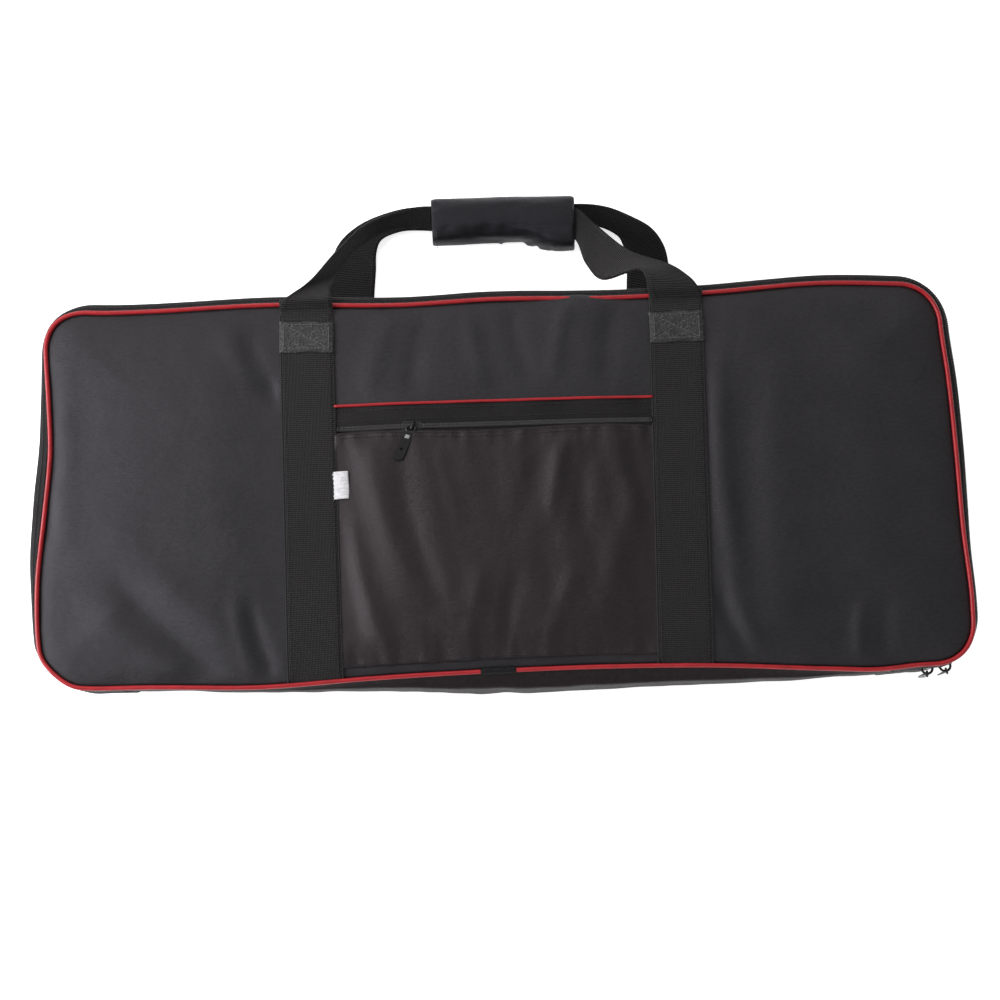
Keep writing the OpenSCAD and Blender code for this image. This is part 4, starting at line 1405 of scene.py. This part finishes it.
def grip_wrap():
    """Padded grip wrap round both handles, swollen by cloth simulation."""
    section = grip_outline(64)
    x = np.linspace(GRIP_LO.x - 3.4 * MM, GRIP_HI.x + 1.6 * MM, 70)[:, None]
    share = np.clip((x - GRIP_LO.x) / (GRIP_HI.x - GRIP_LO.x), 0, 1)
    y = section[None, :, 0] + 0 * x
    z = section[None, :, 1] + 0 * x
    near = 1 - smooth(0.262, 0.292, y)
    far_edge = curve_through([(0, 4), (0.2, 4), (0.5, 4), (0.75, 3), (1, 2)], share)
    y = y + MM * (near * near_edge(share) + (1 - near) * far_edge)
    lower_right = 0.35 + bump(share, 0.75, 0.25) * (1 - smooth(0.27, 0.295, y))
    wrinkles = field(listed(x, y * 0.6, z * 0.6), 0.012, 17).reshape(y.shape)
    z = z + 1.3 * MM * wrinkles * lower_right
    uvs = grid_of(x, np.linspace(0, 0.1, len(section))[None])
    wrap = thicken(grid_object("grip_wrap", grid_of(x, y, z), uvs, WRAP), 4.2 * MM, 0)
    swell(wrap, 3.4 * MM, 4.0, 2.5 * MM)
    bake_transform(wrap)
    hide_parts("wrap_cover", "wrap_padding", "wrap_flap")


def swell(obj, voxel, pressure, limit):
    """Swells a soft piece with the cloth solver, no point moving further than limit."""
    m = obj.modifiers.new("voxels", "REMESH")
    m.mode = "VOXEL"
    m.voxel_size = voxel
    apply_modifiers(obj)
    before = read_points(obj.data)
    cloth = obj.modifiers.new("cloth", "CLOTH")
    cloth.settings.use_pressure = True
    cloth.settings.uniform_pressure_force = pressure
    cloth.settings.effector_weights.gravity = 0
    cloth.settings.quality = 5
    scene = bpy.context.scene
    for step in range(1, 21):
        scene.frame_set(step)
    graph = bpy.context.evaluated_depsgraph_get()
    move = read_points(obj.evaluated_get(graph).data) - before
    far = np.linalg.norm(move, axis=1, keepdims=True)
    move *= np.minimum(1, limit / np.maximum(far, 1e-9))
    obj.modifiers.clear()
    scene.frame_set(1)
    obj.data.vertices.foreach_set("co", (before + move).ravel())
    m = obj.modifiers.new("smooth", "SUBSURF")
    m.levels = m.render_levels = 1
    apply_modifiers(obj)
    obj.data.polygons.foreach_set("use_smooth", [True] * len(obj.data.polygons))
    p = read_points(obj.data)
    write_map(obj.data, grid_of(p[:, 0], p[:, 1] - p[:, 2]))


def grip_details():
    """Stitching near the wrap's two ends, and its hook and loop strips."""
    section = grip_outline(90)
    rows = []
    over_roof = section[16:]
    out = over_roof - np.array([(GRIP_LO.y + GRIP_HI.y) / 2, 8 * MM])
    out /= np.linalg.norm(out, axis=1, keepdims=True)
    seam = over_roof + out * 2.9 * MM
    for x in (GRIP_LO.x + 4 * MM, GRIP_HI.x - 4 * MM):
        line = grid_of(x, seam[:, 0], seam[:, 1])
        rows.append(stitch_parts(line, grid_of(0.0, out[:, 0], out[:, 1]), 3.0 * MM))
    seams = parts_object("grip_stitching", rows, THREAD)
    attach(seams, "front_handle")
    strips = (
        ("loop_tape", 309.3, 1, 14, "front_handle", "wrap_loop_strip"),
        ("hook_tape", 268.9, 7, 15, "wrap_flap", "wrap_hook_strip"),
    )
    for name, y, z0, z1, body, node in strips:
        gx = np.linspace(GRIP_LO.x + 8 * MM, GRIP_HI.x - 8 * MM, 40)[:, None]
        gz = np.linspace(z0, z1, 8)[None, :] * MM
        share = (gx - GRIP_LO.x) / (GRIP_HI.x - GRIP_LO.x)
        shift = near_edge(share) * MM if body == "wrap_flap" else 0
        strip = grid_object(name, grid_of(gx, y * MM + shift, gz), grid_of(gx, gz), HOOK)
        ride(thicken(strip, 1.0 * MM), body, "hook_loop", node)


handles()
grip_wrap()
grip_details()


# ---------------------------------------------------------------- sliders and pullers


def built(name, bm, material):
    """Object from a finished bmesh."""
    mesh = bpy.data.meshes.new(name)
    bm.to_mesh(mesh)
    bm.free()
    return place(name, mesh, material)


def rounded_box(name, size, centre, radius, material, taper=1.0):
    """Box with rounded edges; taper narrows its +X end."""
    bm = bmesh.new()
    bmesh.ops.create_cube(bm, size=1)
    for v in bm.verts:
        v.co = Vector((v.co.x * size[0], v.co.y * size[1] * (taper if v.co.x > 0 else 1), v.co.z * size[2]))
    bmesh.ops.bevel(bm, geom=bm.edges[:], offset=radius, segments=3, affect="EDGES", profile=0.6)
    for v in bm.verts:
        v.co += Vector(centre)
    uv = bm.loops.layers.uv.new("flat")
    for face in bm.faces:
        face.smooth = True
        for loop in face.loops:
            loop[uv].uv = (loop.vert.co.x + loop.vert.co.z, loop.vert.co.y)
    return built(name, bm, material)


def tab_outline(width, length, cols=12):
    """Outline of a puller's tab in its plane, round at the far end."""
    pts = [(-width * 0.32, 0), (width * 0.32, 0), (width / 2, -length * 0.25)]
    for k in range(cols + 1):
        a = math.pi * k / cols
        pts.append((width / 2 * math.cos(a), -(length - width / 2) - width / 2 * math.sin(a)))
    pts.append((-width / 2, -length * 0.25))
    return pts


def tab(name, width, length, thick, start, material):
    """Flat puller tab in the XY plane below start, with bevelled edges and a round hole."""
    bm = bmesh.new()
    outline = tab_outline(width, length)
    hole_y = -length * 0.62
    hole = [(width * 0.17 * math.cos(a), hole_y + width * 0.17 * math.sin(a))
            for a in np.linspace(0, 2 * math.pi, 17)[:-1]]
    loops = []
    for pts in (outline, hole):
        vs = [bm.verts.new((x, y, thick / 2)) for x, y in pts]
        loops += [bm.edges.new((vs[k], vs[(k + 1) % len(vs)])) for k in range(len(vs))]
    bmesh.ops.triangle_fill(bm, edges=loops, use_beauty=True)
    bmesh.ops.recalc_face_normals(bm, faces=bm.faces[:])
    down = bmesh.ops.extrude_face_region(bm, geom=bm.faces[:])
    for v in [g for g in down["geom"] if isinstance(g, bmesh.types.BMVert)]:
        v.co.z -= thick
    bmesh.ops.recalc_face_normals(bm, faces=bm.faces[:])
    sharp = [e for e in bm.edges if len(e.link_faces) == 2 and e.calc_face_angle(0) > 1.0]
    bmesh.ops.bevel(bm, geom=sharp, offset=thick * 0.2, segments=2, affect="EDGES")
    for v in bm.verts:
        v.co += Vector(start)
    uv = bm.loops.layers.uv.new("flat")
    for face in bm.faces:
        for loop in face.loops:
            loop[uv].uv = (loop.vert.co.x, loop.vert.co.y)
    return built(name, bm, material)


def merge(name, objs, matrix):
    """Joins objects into one, moved by the matrix into its place on the case."""
    bm = bmesh.new()
    for o in objs:
        o.data.transform(matrix)
        bm.from_mesh(o.data)
    material = objs[0].data.materials[0]
    for o in objs:
        bpy.data.objects.remove(o)
    return built(name, bm, material)


def bent_wire(name, centre, radius, start, stop, plane, wire, closed=False):
    """Round wire bent to an arc in the plane of two unit vectors."""
    count = 25 if closed else 20
    a = np.linspace(math.radians(start), math.radians(stop), count)[:24 if closed else None]
    u, v = np.array(plane, float)
    path = np.array(centre) + radius * (np.cos(a)[:, None] * u + np.sin(a)[:, None] * v)
    sides = 10 if wire > 1 * MM else 8
    return parts_object(name, [tube_parts(path, wire, sides=sides, closed=closed)], METAL)


X_AXIS, Y_AXIS, Z_AXIS = (1, 0, 0), (0, 1, 0), (0, 0, 1)
FLAT_PLANE = (X_AXIS, Y_AXIS)
UPRIGHT_PLANE = (Y_AXIS, Z_AXIS)


def main_slider(side, matrix):
    """Zip slider with its bridge loop, and a ringed puller hanging from it."""
    plate = 1.5 * MM
    outer = rounded_box("a", (12 * MM, plate, 7.8 * MM), (0, -12.2 * MM, 85.1 * MM), 0.55 * MM, METAL)
    inner = rounded_box("b", (12 * MM, plate, 6.0 * MM), (0, -7.0 * MM, 84.7 * MM), 0.5 * MM, METAL)
    post_at = (-4.9 * MM, -9.6 * MM, 88.0 * MM)
    post = rounded_box("c", (2.2 * MM, 5.4 * MM, 0.7 * MM), post_at, 0.15 * MM, METAL)
    loop = bent_wire("d", (0, -12.8 * MM, 84.4 * MM), 4.9 * MM, 180, 360, FLAT_PLANE, 1.15 * MM)
    slider = merge(f"main_slider_{side}", [outer, inner, post, loop], matrix)
    ride(slider, f"slider_{side}", "slider_metal", f"slider_{side}")
    ring_at_y = -17.6 * MM
    ring = bent_wire("e", (0, ring_at_y, 83.0 * MM), 2.7 * MM, 0, 360, UPRIGHT_PLANE, 0.65 * MM, closed=True)
    blade = tab("f", 7 * MM, 22 * MM, 1.3 * MM, (0, 0, 0), METAL)
    upright = Matrix.Rotation(math.radians(90), 4, "X")
    blade.data.transform(Matrix.Translation((0, ring_at_y, 80.6 * MM)) @ upright)
    puller = merge(f"main_puller_{side}", [ring, blade], matrix)
    ride(puller, f"pull_{side}", "slider_metal", f"pull_{side}")


def pocket_slider():
    """Small slider of the pocket zip with its puller lying towards the bottom seam."""
    base_z = 103.0 * MM
    matrix = (
        Matrix.Translation((-81 * MM, POCKET_ZIP_Y, base_z))
        @ Matrix.Diagonal((1.7, 1.35, 1.15, 1))
        @ Matrix.Translation((0, 0, -base_z))
    )
    turn = Matrix.Rotation(math.radians(-20), 4, "Z")
    top = rounded_box("a", (11 * MM, 8 * MM, 1.4 * MM), (0, 0, 104.5 * MM), 0.6 * MM, METAL, taper=0.72)
    under = rounded_box("b", (11 * MM, 8 * MM, 0.6 * MM), (0, 0, 100.5 * MM), 0.2 * MM, METAL, taper=0.72)
    post_at = (-4.4 * MM, 0, 102.4 * MM)
    post = rounded_box("c", (1.8 * MM, 1.0 * MM, 4.4 * MM), post_at, 0.2 * MM, METAL)
    loop = bent_wire("d", (0, 0, 104.9 * MM), 2.8 * MM, 0, 180, UPRIGHT_PLANE, 0.75 * MM)
    loop.data.transform(turn)
    slider = merge("pocket_zip_slider", [top, under, post, loop], matrix)
    ride(slider, "pocket_slider", "slider_metal", "pocket_slider")
    ring_mid = (0, -2.4 * MM, 106.4 * MM)
    ring = bent_wire("e", ring_mid, 2.5 * MM, 0, 360, FLAT_PLANE, 0.6 * MM, closed=True)
    blade = tab("f", 5.6 * MM, 21 * MM, 1.2 * MM, (0, -4.6 * MM, 106.3 * MM), METAL)
    rivet_at = (0, -8.4 * MM, 107.1 * MM)
    rivet = rounded_box("g", (2.6 * MM, 2.6 * MM, 0.9 * MM), rivet_at, 0.4 * MM, STEEL)
    for piece in (ring, blade, rivet):
        piece.data.transform(turn)
    spot = merge("pocket_puller_rivet", [rivet], matrix)
    ride(merge("pocket_puller", [ring, blade], matrix), "pocket_pull", "slider_metal", "pocket_pull")
    ride(spot, "pocket_pull", "slider_metal")


# Slider A stands on the straight zip and slider B is turned round the lower right corner.
on_run = Matrix.Translation((ARC_X - 3 * MM, 1 * MM - PIPE_Y + TUCK, 0))
on_corner = (
    Matrix.Translation((ARC_X, -ARC_Y + TUCK, 0))
    @ Matrix.Rotation(math.radians(16), 4, "Z")
    @ Matrix.Translation((0, 1 * MM - CORNER_R, 0))
)
main_slider("a", on_run)
main_slider("b", on_corner)
pocket_slider()


# ---------------------------------------------------------------- studio


def area_light(name, at, target, size, power, colour=(1, 1, 1)):
    """Soft box aimed at a point."""
    data = bpy.data.lights.new(name, "AREA")
    data.shape = "RECTANGLE"
    data.size, data.size_y = size
    data.energy = power
    data.color = colour
    obj = place(name, data)
    obj.location = at
    obj.rotation_euler = (Vector(target) - Vector(at)).to_track_quat("-Z", "Y").to_euler()


def studio():
    """White floor and room, soft boxes, and the camera that stands over the case's near side."""
    scene = bpy.context.scene
    corners = [(-6, -6), (6, -6), (6, 6), (-6, 6)]
    under = [(x, y, -0.0004) for x, y in corners]
    floor = add_object("studio_floor", under, [(0, 1, 2, 3)], corners, plain_floor("studio_floor"))
    world = bpy.data.worlds.new("room")
    scene.world = world
    world.use_nodes = True
    world.node_tree.nodes["Background"].inputs["Color"].default_value = (1, 1, 1, 1)
    world.node_tree.nodes["Background"].inputs["Strength"].default_value = 0.42
    area_light("left_box", (-1.7, 0.1, 0.9), (-0.15, 0.0, 0.05), (1.1, 1.2), 46, (0.96, 0.97, 1.0))
    area_light("top_box", (-0.3, 1.5, 1.4), (0.0, 0.0, 0.05), (1.8, 0.6), 13, (1.0, 0.98, 0.98))
    area_light("front_box", (0.5, -1.7, 1.2), (0.1, -0.1, 0.05), (1.6, 0.7), 6)
    cam = bpy.data.cameras.new("camera")
    cam.lens = 62.64
    cam.sensor_width = 36
    obj = bpy.data.objects.new("camera", cam)
    scene.collection.objects.link(obj)
    tilt, roll = math.radians(13.14), math.radians(1.77)
    forward = Vector((0, math.sin(tilt), -math.cos(tilt)))
    up0 = Vector((0, math.cos(tilt), math.sin(tilt)))
    right0 = Vector((1, 0, 0))
    right = right0 * math.cos(roll) - up0 * math.sin(roll)
    up = right0 * math.sin(roll) + up0 * math.cos(roll)
    at = Vector((-0.002, -0.0164, 0.103)) - 1.6 * forward
    turn = Matrix((right, up, -forward)).transposed().to_4x4()
    obj.matrix_world = Matrix.Translation(at) @ turn
    scene.camera = obj
    scene.view_settings.view_transform = "Standard"


studio()
